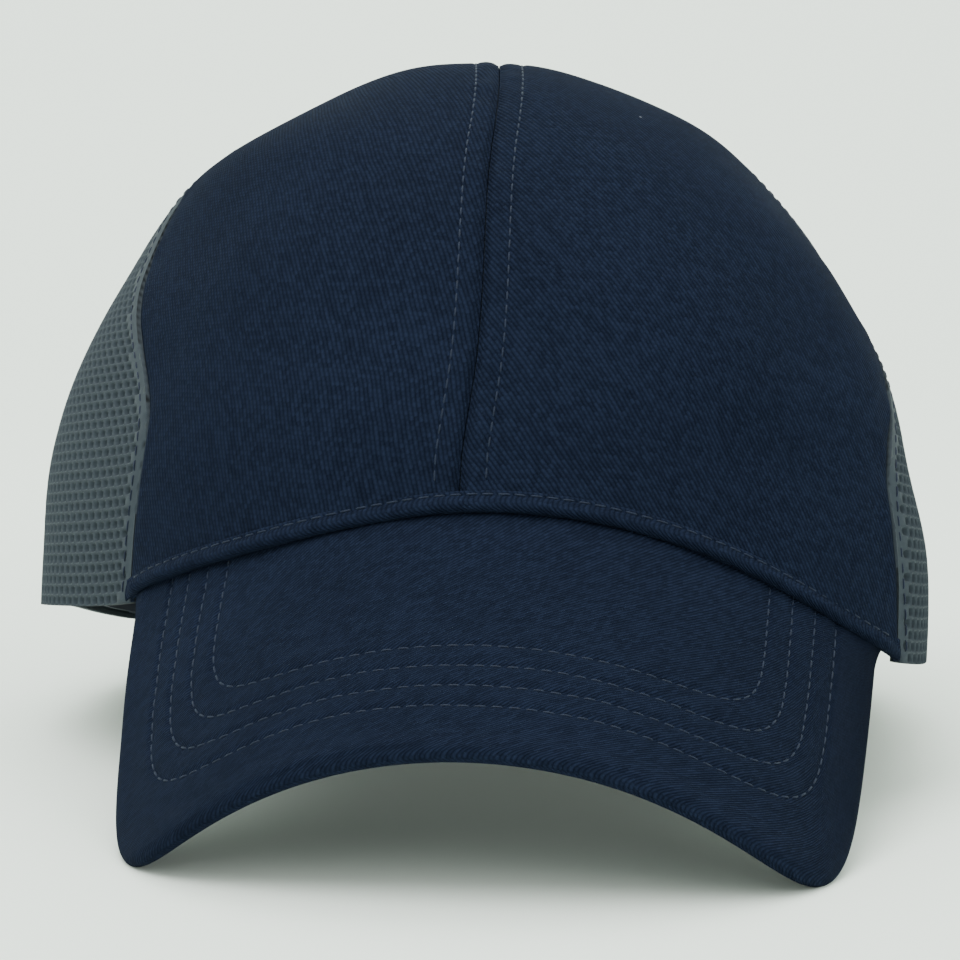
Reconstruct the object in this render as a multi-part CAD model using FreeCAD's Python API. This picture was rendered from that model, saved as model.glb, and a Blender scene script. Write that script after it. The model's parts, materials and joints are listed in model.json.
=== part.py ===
"""Bump cap: a six-panel fabric cap with a curved bill, worn over a padded hard insert.

Everything is drawn in the crown's own frame, in millimetres: the rim plane is Z = 0, the front faces -Y and
+X is the wearer's left. At the end the whole cap leans back onto its rear rim and the corners of its bill,
and is moved so that it stands on Z = 0 with its box centred on the origin.
"""
import FreeCAD
import Part
import math
import os

from FreeCAD import Matrix, Vector

# ---------------------------------------------------------------- driving sizes, mm and degrees
CROWN_HALF_WIDTH = 97.0      # outside of the fabric, across the head
CROWN_FRONT = 104.0          # from the crown's centre to the front of the rim
CROWN_BACK = 98.0            # from the crown's centre to the back of the rim
CROWN_HEIGHT = 123.0         # rim plane to the top of the crown
PLAN_POWER = 2.2             # 2 is an ellipse; more is squarer in plan
DOME_POWER = 2.12            # 2 is an ellipse; more is squarer in side view

TWILL = 1.0                  # woven cloth of the two front panels
BUCKRAM = 0.8                # stiff interlining behind the front panels
MESH = 1.8                   # knitted spacer mesh of the four other panels
SEAM_GAP = 0.3               # between two neighbouring panels
LAYER_GAP = 0.2              # between two layers that are sewn together
PANEL_TIP_RADIUS = 1.5       # where the panels end round the crown's top
BUCKRAM_MARGIN = 6.0         # from a seam to the edge of the interlining
BUCKRAM_TIP_RADIUS = 14.0

FRONT_SEAM_RIM = 54.0        # azimuth of the seam between front and side, at the rim
FRONT_SEAM_TOP = 80.0        # and near the top
REAR_SEAM_RIM = 118.0        # azimuth of the seam between side and back, at the rim
REAR_SEAM_TOP = 130.0        # and near the top

TAPE = 0.5                   # cotton tape over each seam, inside
TAPE_WIDTH = 9.0
TAPE_TIP_RADIUS = 12.0
TAPE_LIFT = 1.4              # its lower end above the crown's edge

SEAM_BAND = 1.3              # turned edge of the front panels, proud of them above the bill
SEAM_BAND_HEIGHT = 4.0
SEAM_BAND_GAP = 0.35         # between it and the panels

SWEATBAND = 2.4
SWEATBAND_HEIGHT = 32.0
SWEATBAND_LIFT = 1.5         # its lower edge above the rim
SWEATBAND_SETBACK = 2.0      # behind the straps' sewn ends

BILL_SLOPE = 44.5            # how far the bill's middle points below the rim plane
BILL_BEND_ROOT = 98.0        # radius that the bill is curved to, at its top face, where it leaves the crown
BILL_BEND_EDGE = 77.4        # and at its front edge
BILL_BEND_START = -12.0      # where along the reach the curve starts to tighten
BILL_REACH = 70.5            # crown to the front edge, along the middle
BILL_HALF_SPAN = 88.0        # half its width, before it was curved
BILL_SHOULDER = -6.0         # where along the reach the front rounding starts
BILL_POWER = 6.6             # how square its front corners are
BILL_END_DROP = 7.6          # how far the bill pulls the rim down at its ends
BILL_COVER = 0.8             # cloth over and under the board
BILL_BOARD = 2.0             # plastic board
BILL_BOARD_MARGIN = 2.0      # cloth beyond the board's edge
BILL_TRIM = 0.5              # azimuth left free between the bill's ends and the front seams
BILL_GAP = 0.4               # between the bill's top face and the crown's lower edge
RIM_EASE = 50.0              # azimuth over which the rim comes back up behind the bill

OPENING_HALF_WIDTH = 48.0    # half-moon opening at the back
OPENING_HEIGHT = 56.0
BELOW_RIM = 20.0             # the cut for the opening starts this far under the rim plane
BINDING = 0.6                # tape folded round its edge
BINDING_WIDTH = 8.0

STRAP = 1.6
STRAP_HEIGHT = 22.0
STRAP_LIFT = 1.5             # lower edge above the rim
STRAP_ANCHOR = 16.0          # length of each strap's sewn end
STRAP_ROOT = 6.0             # from the opening's foot to the end of that stitching
STRAP_FOLD = 0.8             # fold line between the sewn end and the free strap
STRAP_STEP = 10.0            # length over which a strap comes level with the crown
STRAP_SHORT = 14.0           # how far each strap's tip stops before the other's root
PATCH = 0.8                  # hook tape and loop tape
PATCH_MARGIN = 1.5
PATCH_LENGTH = 46.0
PATCH_GAP = 0.3              # between the hooks and the loops

SHELL = 2.0                  # hard insert
SHELL_CLEARANCE = 10.0       # crown's outside to the insert's outside, at the rim
SHELL_TOP_CLEARANCE = 6.8    # the same over the crown
SHELL_RIM_FRONT = 46.0       # height of the insert's rim above the rim plane
SHELL_RIM_SIDE = 38.0
SHELL_RIM_BACK = 56.0
VENT_LENGTH = 24.0
VENT_WIDTH = 8.0
TOP_VENT_RADIUS = 7.0

PAD = 7.0                    # foam pads inside the insert
PAD_RIM_LIFT = 4.0           # pads' lower edge above the insert's rim
PAD_TOP_RADIUS = 46.0        # where the rim pads end, from the crown's axis
CROWN_PAD_RADIUS = 38.0
CROWN_PAD_HOLE = 12.0
FRONT_PAD_SPAN = 44.0        # half of each pad's azimuth
SIDE_PAD_SPAN = 30.0
REAR_PAD_SPAN = 36.0

GRIP_SIZE = 20.0             # square hook-and-loop patches that hold the insert in the crown
GRIP = 2.0
GRIP_AZIMUTHS = (32.0, 148.0, 212.0, 328.0)
GRIP_RISE = 57.0

LABEL_AZIMUTH = 96.0         # blank care label, sewn to the sweatband
LABEL_WIDTH = 38.0
LABEL_HEIGHT = 18.0
LABEL_LIFT = 6.0
LABEL = 0.4

PARTS_FOLDER = "parts"

# ---------------------------------------------------------------- depths below the crown's outside
BUCKRAM_DEPTH = TWILL + LAYER_GAP
TAPE_DEPTH = max(BUCKRAM_DEPTH + BUCKRAM, MESH) + LAYER_GAP
TAPE_INSIDE = TAPE_DEPTH + TAPE
SWEATBAND_DEPTH = TAPE_INSIDE + LAYER_GAP
LABEL_DEPTH = SWEATBAND_DEPTH + SWEATBAND + LAYER_GAP
LOOP_PATCH_DEPTH = -LAYER_GAP
HOOK_PATCH_DEPTH = LOOP_PATCH_DEPTH - PATCH - PATCH_GAP
HOOK_STRAP_DEPTH = HOOK_PATCH_DEPTH - PATCH - LAYER_GAP

LOOP_STRAP_DEPTH = TAPE_DEPTH + BINDING + LAYER_GAP

SLOPE = math.radians(BILL_SLOPE)
BILL_THICKNESS = 2 * BILL_COVER + BILL_BOARD + 2 * LAYER_GAP


# ---------------------------------------------------------------- the crown's surface
def power_round(angle, power):
    """Distance from the centre to a unit superellipse at this angle, in degrees."""
    c = abs(math.cos(math.radians(angle)))
    s = abs(math.sin(math.radians(angle)))
    return (c ** power + s ** power) ** (-1.0 / power)


def on_crown(azimuth, rise):
    """The crown's outside: azimuth runs from the front towards +X, rise from the rim (0) to the top (90)."""
    around = power_round(azimuth, PLAN_POWER)
    up = power_round(rise, DOME_POWER)
    level = around * up * math.cos(math.radians(rise))
    forward = math.cos(math.radians(azimuth))
    length = CROWN_FRONT if forward > 0 else CROWN_BACK
    return Vector(CROWN_HALF_WIDTH * math.sin(math.radians(azimuth)) * level, -length * forward * level,
                  CROWN_HEIGHT * math.sin(math.radians(rise)) * up)


def crown_point(azimuth, rise, depth):
    """A point at this depth below the crown's outside, along its normal."""
    step = 0.2
    along = on_crown(azimuth + step, rise) - on_crown(azimuth - step, rise)
    upward = on_crown(azimuth, rise + step) - on_crown(azimuth, rise - step)
    return on_crown(azimuth, rise) - along.cross(upward).normalize() * depth


def halve(below, low, high):
    """The value between low and high where below() turns from true to false."""
    for _ in range(32):
        middle = (low + high) / 2
        if below(middle):
            low = middle
        else:
            high = middle
    return (low + high) / 2


def rise_at(azimuth, height):
    return halve(lambda rise: on_crown(azimuth, rise).z < height, -12.0, 89.0)


def rise_at_depth(azimuth, height, depth):
    return halve(lambda rise: crown_point(azimuth, rise, depth).z < height, -12.0, 89.0)


def rise_at_radius(azimuth, radius):
    def outside(rise):
        point = on_crown(azimuth, rise)
        return math.hypot(point.x, point.y) > radius
    return halve(outside, 30.0, 90.0)


def azimuth_at_x(x, height):
    """The azimuth on the back half where the crown is this wide at this height."""
    return halve(lambda azimuth: on_crown(azimuth, rise_at(azimuth, height)).x > x, 90.0, 180.0)


# ---------------------------------------------------------------- the bill's surface
def bend_at(reach):
    """The radius that the bill is curved to, this far down its slope."""
    share = (reach - BILL_BEND_START) / (BILL_REACH - BILL_BEND_START)
    return BILL_BEND_ROOT + (BILL_BEND_EDGE - BILL_BEND_ROOT) * min(1.0, max(0.0, share))


def from_root(span, reach, depth):
    """span is measured round the bend from the middle, reach down the slope, depth below the top face."""
    bend = bend_at(reach)
    out = (bend - depth) * math.sin(span / bend)
    drop = bend - (bend - depth) * math.cos(span / bend)
    return Vector(out, -reach * math.cos(SLOPE) + drop * math.sin(SLOPE),
                  -reach * math.sin(SLOPE) - drop * math.cos(SLOPE))


def span_and_reach(x, y, depth):
    """Where the bill, at this depth, passes over or under this place."""
    reach = 0.0
    for _ in range(8):
        bend = bend_at(reach)
        span = bend * math.asin(x / (bend - depth))
        drop = bend - (bend - depth) * math.cos(span / bend)
        reach = (-CROWN_FRONT + drop * math.sin(SLOPE) - y) / math.cos(SLOPE)
    return span, reach


def height_from_root(x, y):
    """Height of the bill's top face over this place, from the bill's root at the middle."""
    return from_root(*span_and_reach(x, y, 0.0), 0.0).z


BILL_END = on_crown(FRONT_SEAM_RIM, 0)
BILL_ROOT = Vector(0, -CROWN_FRONT, -BILL_END_DROP - height_from_root(BILL_END.x, BILL_END.y))


def bill_point(span, reach, depth):
    return BILL_ROOT + from_root(span, reach, depth)


def bill_inner_edge(share, depth):
    """span and reach where the bill meets the tape's inside face, share running from -1 to 1."""
    azimuth = share * (FRONT_SEAM_RIM - BILL_TRIM)
    point = crown_point(azimuth, above_rim(0.0)(TAPE_INSIDE)(azimuth), TAPE_INSIDE)
    return span_and_reach(point.x, point.y, depth)


def bill_outline(share, margin):
    """span and reach of the bill's edge, share running from -1 to 1."""
    angle = 90.0 - 90.0 * share
    out = power_round(angle, BILL_POWER)
    return ((BILL_HALF_SPAN - margin) * out * math.cos(math.radians(angle)),
            BILL_SHOULDER + (BILL_REACH - margin - BILL_SHOULDER) * out * math.sin(math.radians(angle)))


def rim_height(azimuth, depth):
    """Height of the crown's lower edge: on the bill's top face in front, eased to the rim plane behind."""
    turn = abs((azimuth + 180) % 360 - 180)
    if turn >= FRONT_SEAM_RIM:
        return -BILL_END_DROP * (1 - smooth((turn - FRONT_SEAM_RIM) / RIM_EASE))

    def below_bill(rise):
        point = crown_point(turn, rise, depth)
        return point.z < BILL_ROOT.z + height_from_root(point.x, point.y)

    return crown_point(turn, halve(below_bill, -12.0, 60.0), depth).z


def above_rim(lift):
    """Rise of a line that stays this far above the crown's lower edge, at each depth."""
    return lambda depth: lambda azimuth: rise_at_depth(azimuth, rim_height(azimuth, depth) + lift, depth)


def smooth(share):
    share = min(1.0, max(0.0, share))
    return share * share * (3 - 2 * share)


# ---------------------------------------------------------------- thin curved solids
def skin(rows):
    surface = Part.BSplineSurface()
    surface.interpolate(rows)
    return surface


def ruled(first, second):
    """The face of straight lines between two curves that run the same way."""
    inner_knots = [curve.getKnots()[1:-1] for curve in (second, first)]
    for curve, knots in zip((first, second), inner_knots):
        for knot in knots:
            if min(abs(knot - own) for own in curve.getKnots()) > 1e-9:
                curve.insertKnot(knot)
    surface = Part.BSplineSurface()
    surface.buildFromPolesMultsKnots([first.getPoles(), second.getPoles()], [2, 2],
                                     first.getMultiplicities(), [0.0, 1.0], first.getKnots(), False, False, 1,
                                     first.Degree)
    return surface.toShape()


def slab_faces(outer_rows, inner_rows, edges=(("uIso", 0), ("uIso", 1), ("vIso", 0), ("vIso", 1))):
    """The faces of a sheet between two grids of points that have the same layout."""
    outer, inner = skin(outer_rows), skin(inner_rows)
    faces = [outer.toShape(), inner.toShape()]
    for direction, end in edges:
        lines = []
        for surface in (outer, inner):
            first = surface.bounds()[0 if direction == "uIso" else 2]
            last = surface.bounds()[1 if direction == "uIso" else 3]
            lines.append(getattr(surface, direction)(last if end else first))
        faces.append(ruled(*lines))
    return faces


def closed(faces):
    shell = Part.makeShell(faces)
    shell.sewShape()
    solid = Part.makeSolid(Part.Shell(shell.Faces))
    if solid.Volume < 0:
        solid.reverse()
    return solid


def grid(left, right, bottom, top, depth, columns, levels):
    """Rows of points on the crown at a depth. left and right give the azimuth at a share of the way up,
    bottom and top the rise at an azimuth."""
    rows = []
    for i in range(levels):
        up = i / (levels - 1)
        first, last = left(up), right(up)
        row = []
        for j in range(columns):
            azimuth = first + (last - first) * j / (columns - 1)
            foot = bottom(azimuth)
            rise = foot + (top(azimuth) - foot) * up
            row.append(crown_point(azimuth, rise, depth(azimuth, rise)))
        rows.append(row)
    return rows


def constant(value):
    return lambda *_: value


def crown_sheet(left, right, bottom, top, outer, inner, columns=25, levels=21):
    """A solid between two depths of the crown; bottom takes a depth and gives a rise for an azimuth."""
    grids = [grid(left, right, bottom(depth), top, constant(depth), columns, levels)
             for depth in (outer, inner)]
    return closed(slab_faces(*grids))


def seam_azimuth(rim, top, up):
    """A seam drifts from its azimuth at the rim to its azimuth at the top."""
    return rim + (top - rim) * smooth(up * 1.25)


def turn_for(length, azimuth, rise):
    """The azimuth step that is this long on the crown at this rise."""
    point = on_crown(azimuth, rise)
    return math.degrees(length / math.hypot(point.x, point.y))


def beside_seam(seam, distance, tip):
    """Azimuth of a line that runs this far beside a seam, at a share of the way from the rim to the tip."""
    def at(up):
        azimuth = seam_azimuth(*seam, up)
        foot = above_rim(0.0)(0.0)(azimuth)
        return azimuth + turn_for(distance, azimuth, foot + (rise_at_radius(azimuth, tip) - foot) * up)
    return at


def to_radius(radius):
    return lambda azimuth: rise_at_radius(azimuth, radius)


def panel(seam_from, seam_to, outer, inner, margin=SEAM_GAP / 2, tip=PANEL_TIP_RADIUS):
    """A panel between two seams, each given as its azimuths at the rim and at the top."""
    return crown_sheet(beside_seam(seam_from, margin, tip), beside_seam(seam_to, -margin, tip),
                       above_rim(BILL_GAP), to_radius(tip), outer, inner)


FRONT_SEAM = (FRONT_SEAM_RIM, FRONT_SEAM_TOP)
REAR_SEAM = (REAR_SEAM_RIM, REAR_SEAM_TOP)
MIDDLE_FRONT = (0.0, 0.0)
MIDDLE_BACK = (180.0, 180.0)


def other_side(shape):
    """The same piece on the wearer's right."""
    return shape.mirror(Vector(0, 0, 0), Vector(1, 0, 0))


# ---------------------------------------------------------------- the rear opening
def opening_prism(margin):
    """A half-moon bar that cuts the opening through the back of the crown."""
    width, height = OPENING_HALF_WIDTH + margin, OPENING_HEIGHT + margin
    arch = Part.Ellipse(Vector(0, 0, 0), max(width, height), min(width, height)).toShape()
    turn = Matrix()
    if height > width:
        turn.rotateZ(math.pi / 2)
    turn.rotateX(math.pi / 2)
    arch = arch.transformGeometry(turn)
    disc = Part.Face(Part.Wire([arch]))
    length = CROWN_BACK + OPENING_HALF_WIDTH
    disc.translate(Vector(0, 2 * CROWN_BACK, 0))
    bar = disc.extrude(Vector(0, -length, 0))
    skirt = Part.makeBox(2 * width, length, BELOW_RIM,
                         Vector(-width, CROWN_BACK - OPENING_HALF_WIDTH, -BELOW_RIM))
    return bar.fuse(skirt)


def arch_at(share, margin):
    """x and height on the half-moon's edge, share running from one foot (0) over the top to the other."""
    angle = math.pi * share
    return ((OPENING_HALF_WIDTH + margin) * math.cos(angle), (OPENING_HEIGHT + margin) * math.sin(angle))


def on_back(x, height, depth):
    azimuth = azimuth_at_x(abs(x), height)
    point = crown_point(azimuth, rise_at(azimuth, height), depth)
    return Vector(math.copysign(point.x, x), point.y, point.z)


def opening_binding():
    """Tape folded round the opening's edge, drawn as the layer that lies inside the panels."""
    grids = []
    for depth in (TAPE_DEPTH, TAPE_DEPTH + BINDING):
        rows = []
        for out in (0.0, 0.5, 1.0):
            rows.append([on_back(*arch_at(0.005 + 0.99 * step / 28, BINDING_WIDTH * out), depth)
                         for step in range(29)])
        grids.append(rows)
    return closed(slab_faces(*grids))


# ---------------------------------------------------------------- straps
OPENING_FOOT = azimuth_at_x(OPENING_HALF_WIDTH, STRAP_LIFT + STRAP_HEIGHT / 2)
STRAP_MIDDLE = on_crown(OPENING_FOOT, 0.0)
TURN_PER_MM = math.degrees(1.0 / math.hypot(STRAP_MIDDLE.x, STRAP_MIDDLE.y))


def strap_piece(start, end, outer, inner, trim=0.0):
    """A length of strap between two azimuths; outer and inner give the depth at an azimuth."""
    low, high = STRAP_LIFT + trim, STRAP_LIFT + STRAP_HEIGHT - trim
    grids = [grid(constant(start), constant(end), lambda azimuth: rise_at(azimuth, low),
                  lambda azimuth: rise_at(azimuth, high), depth, 17, 5) for depth in (outer, inner)]
    return closed(slab_faces(*grids))


ROOT = OPENING_FOOT + STRAP_ROOT * TURN_PER_MM
ANCHOR = ROOT - STRAP_ANCHOR * TURN_PER_MM
FREE = ROOT + STRAP_FOLD * TURN_PER_MM
TIP = 360.0 - ROOT - STRAP_SHORT * TURN_PER_MM
PATCH_START = TIP - (PATCH_LENGTH + PATCH_MARGIN) * TURN_PER_MM
PATCH_END = TIP - PATCH_MARGIN * TURN_PER_MM


def hook_depth(azimuth, _rise=None):
    """The hook strap leaves the panel's outside and runs over the loop strap."""
    share = smooth((azimuth - ROOT) / (STRAP_STEP * TURN_PER_MM))
    return -LAYER_GAP + (HOOK_STRAP_DEPTH + LAYER_GAP) * share


def shifted(depth, by):
    return lambda azimuth, rise: depth(azimuth, rise) + by


def loop_depth(azimuth, _rise=None):
    """The loop strap is sewn inside the panel and comes out level with it."""
    share = smooth((azimuth - ROOT) / (STRAP_STEP * TURN_PER_MM))
    return LOOP_STRAP_DEPTH * (1 - share)


# ---------------------------------------------------------------- the insert
def shell_depth(azimuth, rise):
    return SHELL_CLEARANCE + (SHELL_TOP_CLEARANCE - SHELL_CLEARANCE) * smooth((rise - 20.0) / 28.0)


def shell_rim(azimuth):
    """Height of the insert's rim: lowest at the sides, cut up at the back."""
    forward = math.cos(math.radians(azimuth))
    end = SHELL_RIM_FRONT if forward > 0 else SHELL_RIM_BACK
    return SHELL_RIM_SIDE + (end - SHELL_RIM_SIDE) * smooth(abs(forward) * 1.15)


def dome(bottom, top, outer, inner, columns, levels):
    """A closed ring round the crown's axis, sewn from two halves that mirror each other."""
    grids = [grid(constant(0.0), constant(180.0), bottom, top, depth, columns, levels)
             for depth in (outer, inner)]
    half = slab_faces(*grids, edges=(("uIso", 0), ("uIso", 1)))
    return closed(half + [other_side(face) for face in half])


def rim_of_shell(lift):
    return lambda azimuth: rise_at(azimuth, shell_rim(azimuth) + lift)


def vent_bars():
    """Bars that cut the slots: two rows of three over the top, and two on each side."""
    bars = []
    for x in (-30.0, 0.0, 30.0):
        for y in (-58.0, 26.0):
            bars.append(slot_bar(Vector(x, y, 0), Vector(0, 0, 1), Vector(0, 1, 0)))
    for side in (-1, 1):
        for y in (-30.0, 12.0):
            bars.append(slot_bar(Vector(side * 20.0, y, 72.0), Vector(side, 0, 0), Vector(0, 1, 0)))
    return bars


def slot_bar(start, through, along):
    """A round-ended bar; through is the way it cuts, along is the slot's length."""
    across = through.cross(along)
    radius = VENT_WIDTH / 2
    straight = VENT_LENGTH - VENT_WIDTH
    one, two = start + across * radius, start + across * radius + along * straight
    three, four = start - across * radius + along * straight, start - across * radius
    edges = [Part.makeLine(one, two), Part.Arc(two, start + along * (straight + radius), three).toShape(),
             Part.makeLine(three, four), Part.Arc(four, start - along * radius, one).toShape()]
    return Part.Face(Part.Wire(edges)).extrude(through * (CROWN_HEIGHT + CROWN_HALF_WIDTH))


def pad(middle, half_span):
    return closed(slab_faces(*[
        grid(constant(middle - half_span), constant(middle + half_span), rim_of_shell(PAD_RIM_LIFT),
             to_radius(PAD_TOP_RADIUS), depth, 13, 9)
        for depth in (shifted(shell_depth, SHELL + LAYER_GAP), shifted(shell_depth, SHELL + LAYER_GAP + PAD))]))


def patch_square(azimuth, rise, size, outer, inner):
    """A small square of tape on the crown's surface at a middle azimuth and rise."""
    turn = turn_for(size / 2, azimuth, rise)
    lean = math.degrees(size / 2 / CROWN_HEIGHT)
    return closed(slab_faces(*[
        grid(constant(azimuth - turn), constant(azimuth + turn), constant(rise - lean), constant(rise + lean),
             constant(depth), 5, 5) for depth in (outer, inner)]))


# ---------------------------------------------------------------- all the pieces
def crown_pieces():
    pieces = {}
    front = panel(MIDDLE_FRONT, FRONT_SEAM, 0.0, TWILL)
    stiffener = panel(MIDDLE_FRONT, FRONT_SEAM, BUCKRAM_DEPTH, BUCKRAM_DEPTH + BUCKRAM, BUCKRAM_MARGIN,
                      BUCKRAM_TIP_RADIUS)
    side = panel(FRONT_SEAM, REAR_SEAM, 0.0, MESH)
    back = panel(REAR_SEAM, MIDDLE_BACK, 0.0, MESH).cut(opening_prism(0.0))
    for name, shape in (("front_panel", front), ("front_buckram", stiffener), ("side_panel", side),
                        ("back_panel", back)):
        pieces[name + "_left"] = shape
        pieces[name + "_right"] = other_side(shape)

    pieces["seam_tape_front"] = seam_tape(MIDDLE_FRONT)
    for name, seam in (("front", FRONT_SEAM), ("rear", REAR_SEAM)):
        tape = seam_tape(seam)
        pieces["seam_tape_" + name + "_left"] = tape
        pieces["seam_tape_" + name + "_right"] = other_side(tape)
    pieces["seam_tape_back"] = seam_tape(MIDDLE_BACK, OPENING_HEIGHT + BINDING_WIDTH + 1.0)
    pieces["rear_opening_binding"] = opening_binding()

    pieces["sweatband"] = sweatband()
    pieces["bill_seam_band"] = crown_sheet(
        constant(-FRONT_SEAM_RIM + 1.0), constant(FRONT_SEAM_RIM - 1.0), above_rim(BILL_GAP),
        above_rim(SEAM_BAND_HEIGHT)(0.0),
        -SEAM_BAND_GAP - SEAM_BAND, -SEAM_BAND_GAP, 41, 3)
    pieces["care_label"] = label()
    return pieces


def seam_tape(seam, foot=None):
    """Tape along a seam, from the crown's lower edge, or from a given height, to near the top."""
    bottom = above_rim(TAPE_LIFT)
    if foot is not None:
        bottom = constant(lambda azimuth: rise_at(azimuth, foot))
    return crown_sheet(beside_seam(seam, -TAPE_WIDTH / 2, TAPE_TIP_RADIUS),
                       beside_seam(seam, TAPE_WIDTH / 2, TAPE_TIP_RADIUS), bottom,
                       to_radius(TAPE_TIP_RADIUS), TAPE_DEPTH, TAPE_INSIDE, 9, 33)


def sweatband():
    """One band round the inside of the rim, open at the back."""
    end = ANCHOR - SWEATBAND_SETBACK * TURN_PER_MM

    return closed(slab_faces(*[
        grid(constant(-end), constant(end), above_rim(SWEATBAND_LIFT)(depth),
             above_rim(SWEATBAND_LIFT + SWEATBAND_HEIGHT)(depth), constant(depth), 121, 7)
        for depth in (SWEATBAND_DEPTH, SWEATBAND_DEPTH + SWEATBAND)]))


def label():
    turn = turn_for(LABEL_WIDTH / 2, LABEL_AZIMUTH, 0.0)
    low = rim_height(LABEL_AZIMUTH, 0.0) + SWEATBAND_LIFT + LABEL_LIFT
    return closed(slab_faces(*[
        grid(constant(LABEL_AZIMUTH - turn), constant(LABEL_AZIMUTH + turn),
             lambda azimuth: rise_at(azimuth, low), lambda azimuth: rise_at(azimuth, low + LABEL_HEIGHT),
             constant(depth), 7, 4) for depth in (LABEL_DEPTH, LABEL_DEPTH + LABEL)]))


def bill_layer(top, bottom, margin):
    """One layer of the bill between two depths below its top face."""
    across, along = 61, 9
    grids = []
    for depth in (top, bottom):
        rows = []
        for i in range(along):
            row = []
            for j in range(across):
                share = -1.0 + 2.0 * j / (across - 1)
                near, far = bill_inner_edge(share, depth), bill_outline(share, margin)
                row.append(bill_point(near[0] + (far[0] - near[0]) * i / (along - 1),
                                      near[1] + (far[1] - near[1]) * i / (along - 1), depth))
            rows.append(row)
        grids.append(rows)
    return closed(slab_faces(*grids))


def bill_pieces():
    board_top = BILL_COVER + LAYER_GAP
    cover_top = board_top + BILL_BOARD + LAYER_GAP
    return {"bill_top_cover": bill_layer(0.0, BILL_COVER, 0.0),
            "bill_board": bill_layer(board_top, board_top + BILL_BOARD, BILL_BOARD_MARGIN),
            "bill_bottom_cover": bill_layer(cover_top, BILL_THICKNESS, 0.0)}


def strap_pieces():
    """The hook strap is sewn on the wearer's left, the loop strap on their right."""
    inner_hook, inner_loop = shifted(hook_depth, -STRAP), shifted(loop_depth, STRAP)
    hook_face, loop_face = constant(HOOK_PATCH_DEPTH), constant(LOOP_PATCH_DEPTH)
    pieces = {
        "hook_strap_sewn_end": strap_piece(ANCHOR, ROOT, hook_depth, inner_hook),
        "hook_strap": strap_piece(FREE, TIP, hook_depth, inner_hook),
        "hook_patch": strap_piece(PATCH_START, PATCH_END, hook_face, constant(HOOK_PATCH_DEPTH - PATCH),
                                  PATCH_MARGIN),
        "loop_strap_sewn_end": strap_piece(ANCHOR, ROOT, loop_depth, inner_loop),
        "loop_strap": strap_piece(FREE, TIP, loop_depth, inner_loop),
        "loop_patch": strap_piece(PATCH_START, PATCH_END, loop_face, constant(LOOP_PATCH_DEPTH - PATCH),
                                  PATCH_MARGIN)}
    for name in ("loop_strap_sewn_end", "loop_strap", "loop_patch"):
        pieces[name] = other_side(pieces[name])
    return pieces


def insert_pieces():
    shell = dome(rim_of_shell(0.0), to_radius(TOP_VENT_RADIUS), shell_depth, shifted(shell_depth, SHELL), 25, 13)
    for bar in vent_bars():
        shell = shell.cut(bar)
    pad_top, pad_inside = (shifted(shell_depth, SHELL + LAYER_GAP),
                           shifted(shell_depth, SHELL + LAYER_GAP + PAD))
    pieces = {"hard_shell": shell, "front_pad": pad(0.0, FRONT_PAD_SPAN), "left_pad": pad(90.0, SIDE_PAD_SPAN),
              "rear_pad": pad(180.0, REAR_PAD_SPAN),
              "crown_pad": dome(to_radius(CROWN_PAD_RADIUS), to_radius(CROWN_PAD_HOLE), pad_top, pad_inside,
                                17, 5)}
    pieces["right_pad"] = other_side(pieces["left_pad"])
    loop_inside = TAPE_DEPTH + GRIP
    loops = [patch_square(azimuth, GRIP_RISE, GRIP_SIZE, TAPE_DEPTH, loop_inside) for azimuth in GRIP_AZIMUTHS]
    hooks = [patch_square(azimuth, GRIP_RISE, GRIP_SIZE, loop_inside + PATCH_GAP,
                          SHELL_TOP_CLEARANCE - LAYER_GAP) for azimuth in GRIP_AZIMUTHS]
    pieces["crown_loop_squares"] = Part.makeCompound(loops)
    pieces["shell_hook_squares"] = Part.makeCompound(hooks)
    return pieces


# ---------------------------------------------------------------- standing on the bill's corners
def leaned(shape, angle):
    """Turned about X so that the bill goes down for a negative angle and the back goes down for a positive."""
    turn = Matrix()
    turn.rotateX(-angle)
    return shape.transformed(turn)


def lean_angle(pieces):
    """The lean at which the bill's corners and the back of the rim are equally low."""
    bill, back = pieces["bill_bottom_cover"], pieces["back_panel_left"]
    corners = [vertex for edge in bill.Edges for vertex in edge.discretize(60)]
    rims = [vertex for edge in back.Edges for vertex in edge.discretize(60)]

    def lowest(points, angle):
        return min(-point.y * math.sin(angle) + point.z * math.cos(angle) for point in points)

    return halve(lambda angle: lowest(rims, angle) > lowest(corners, angle), 0.0, math.radians(40.0))


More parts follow.
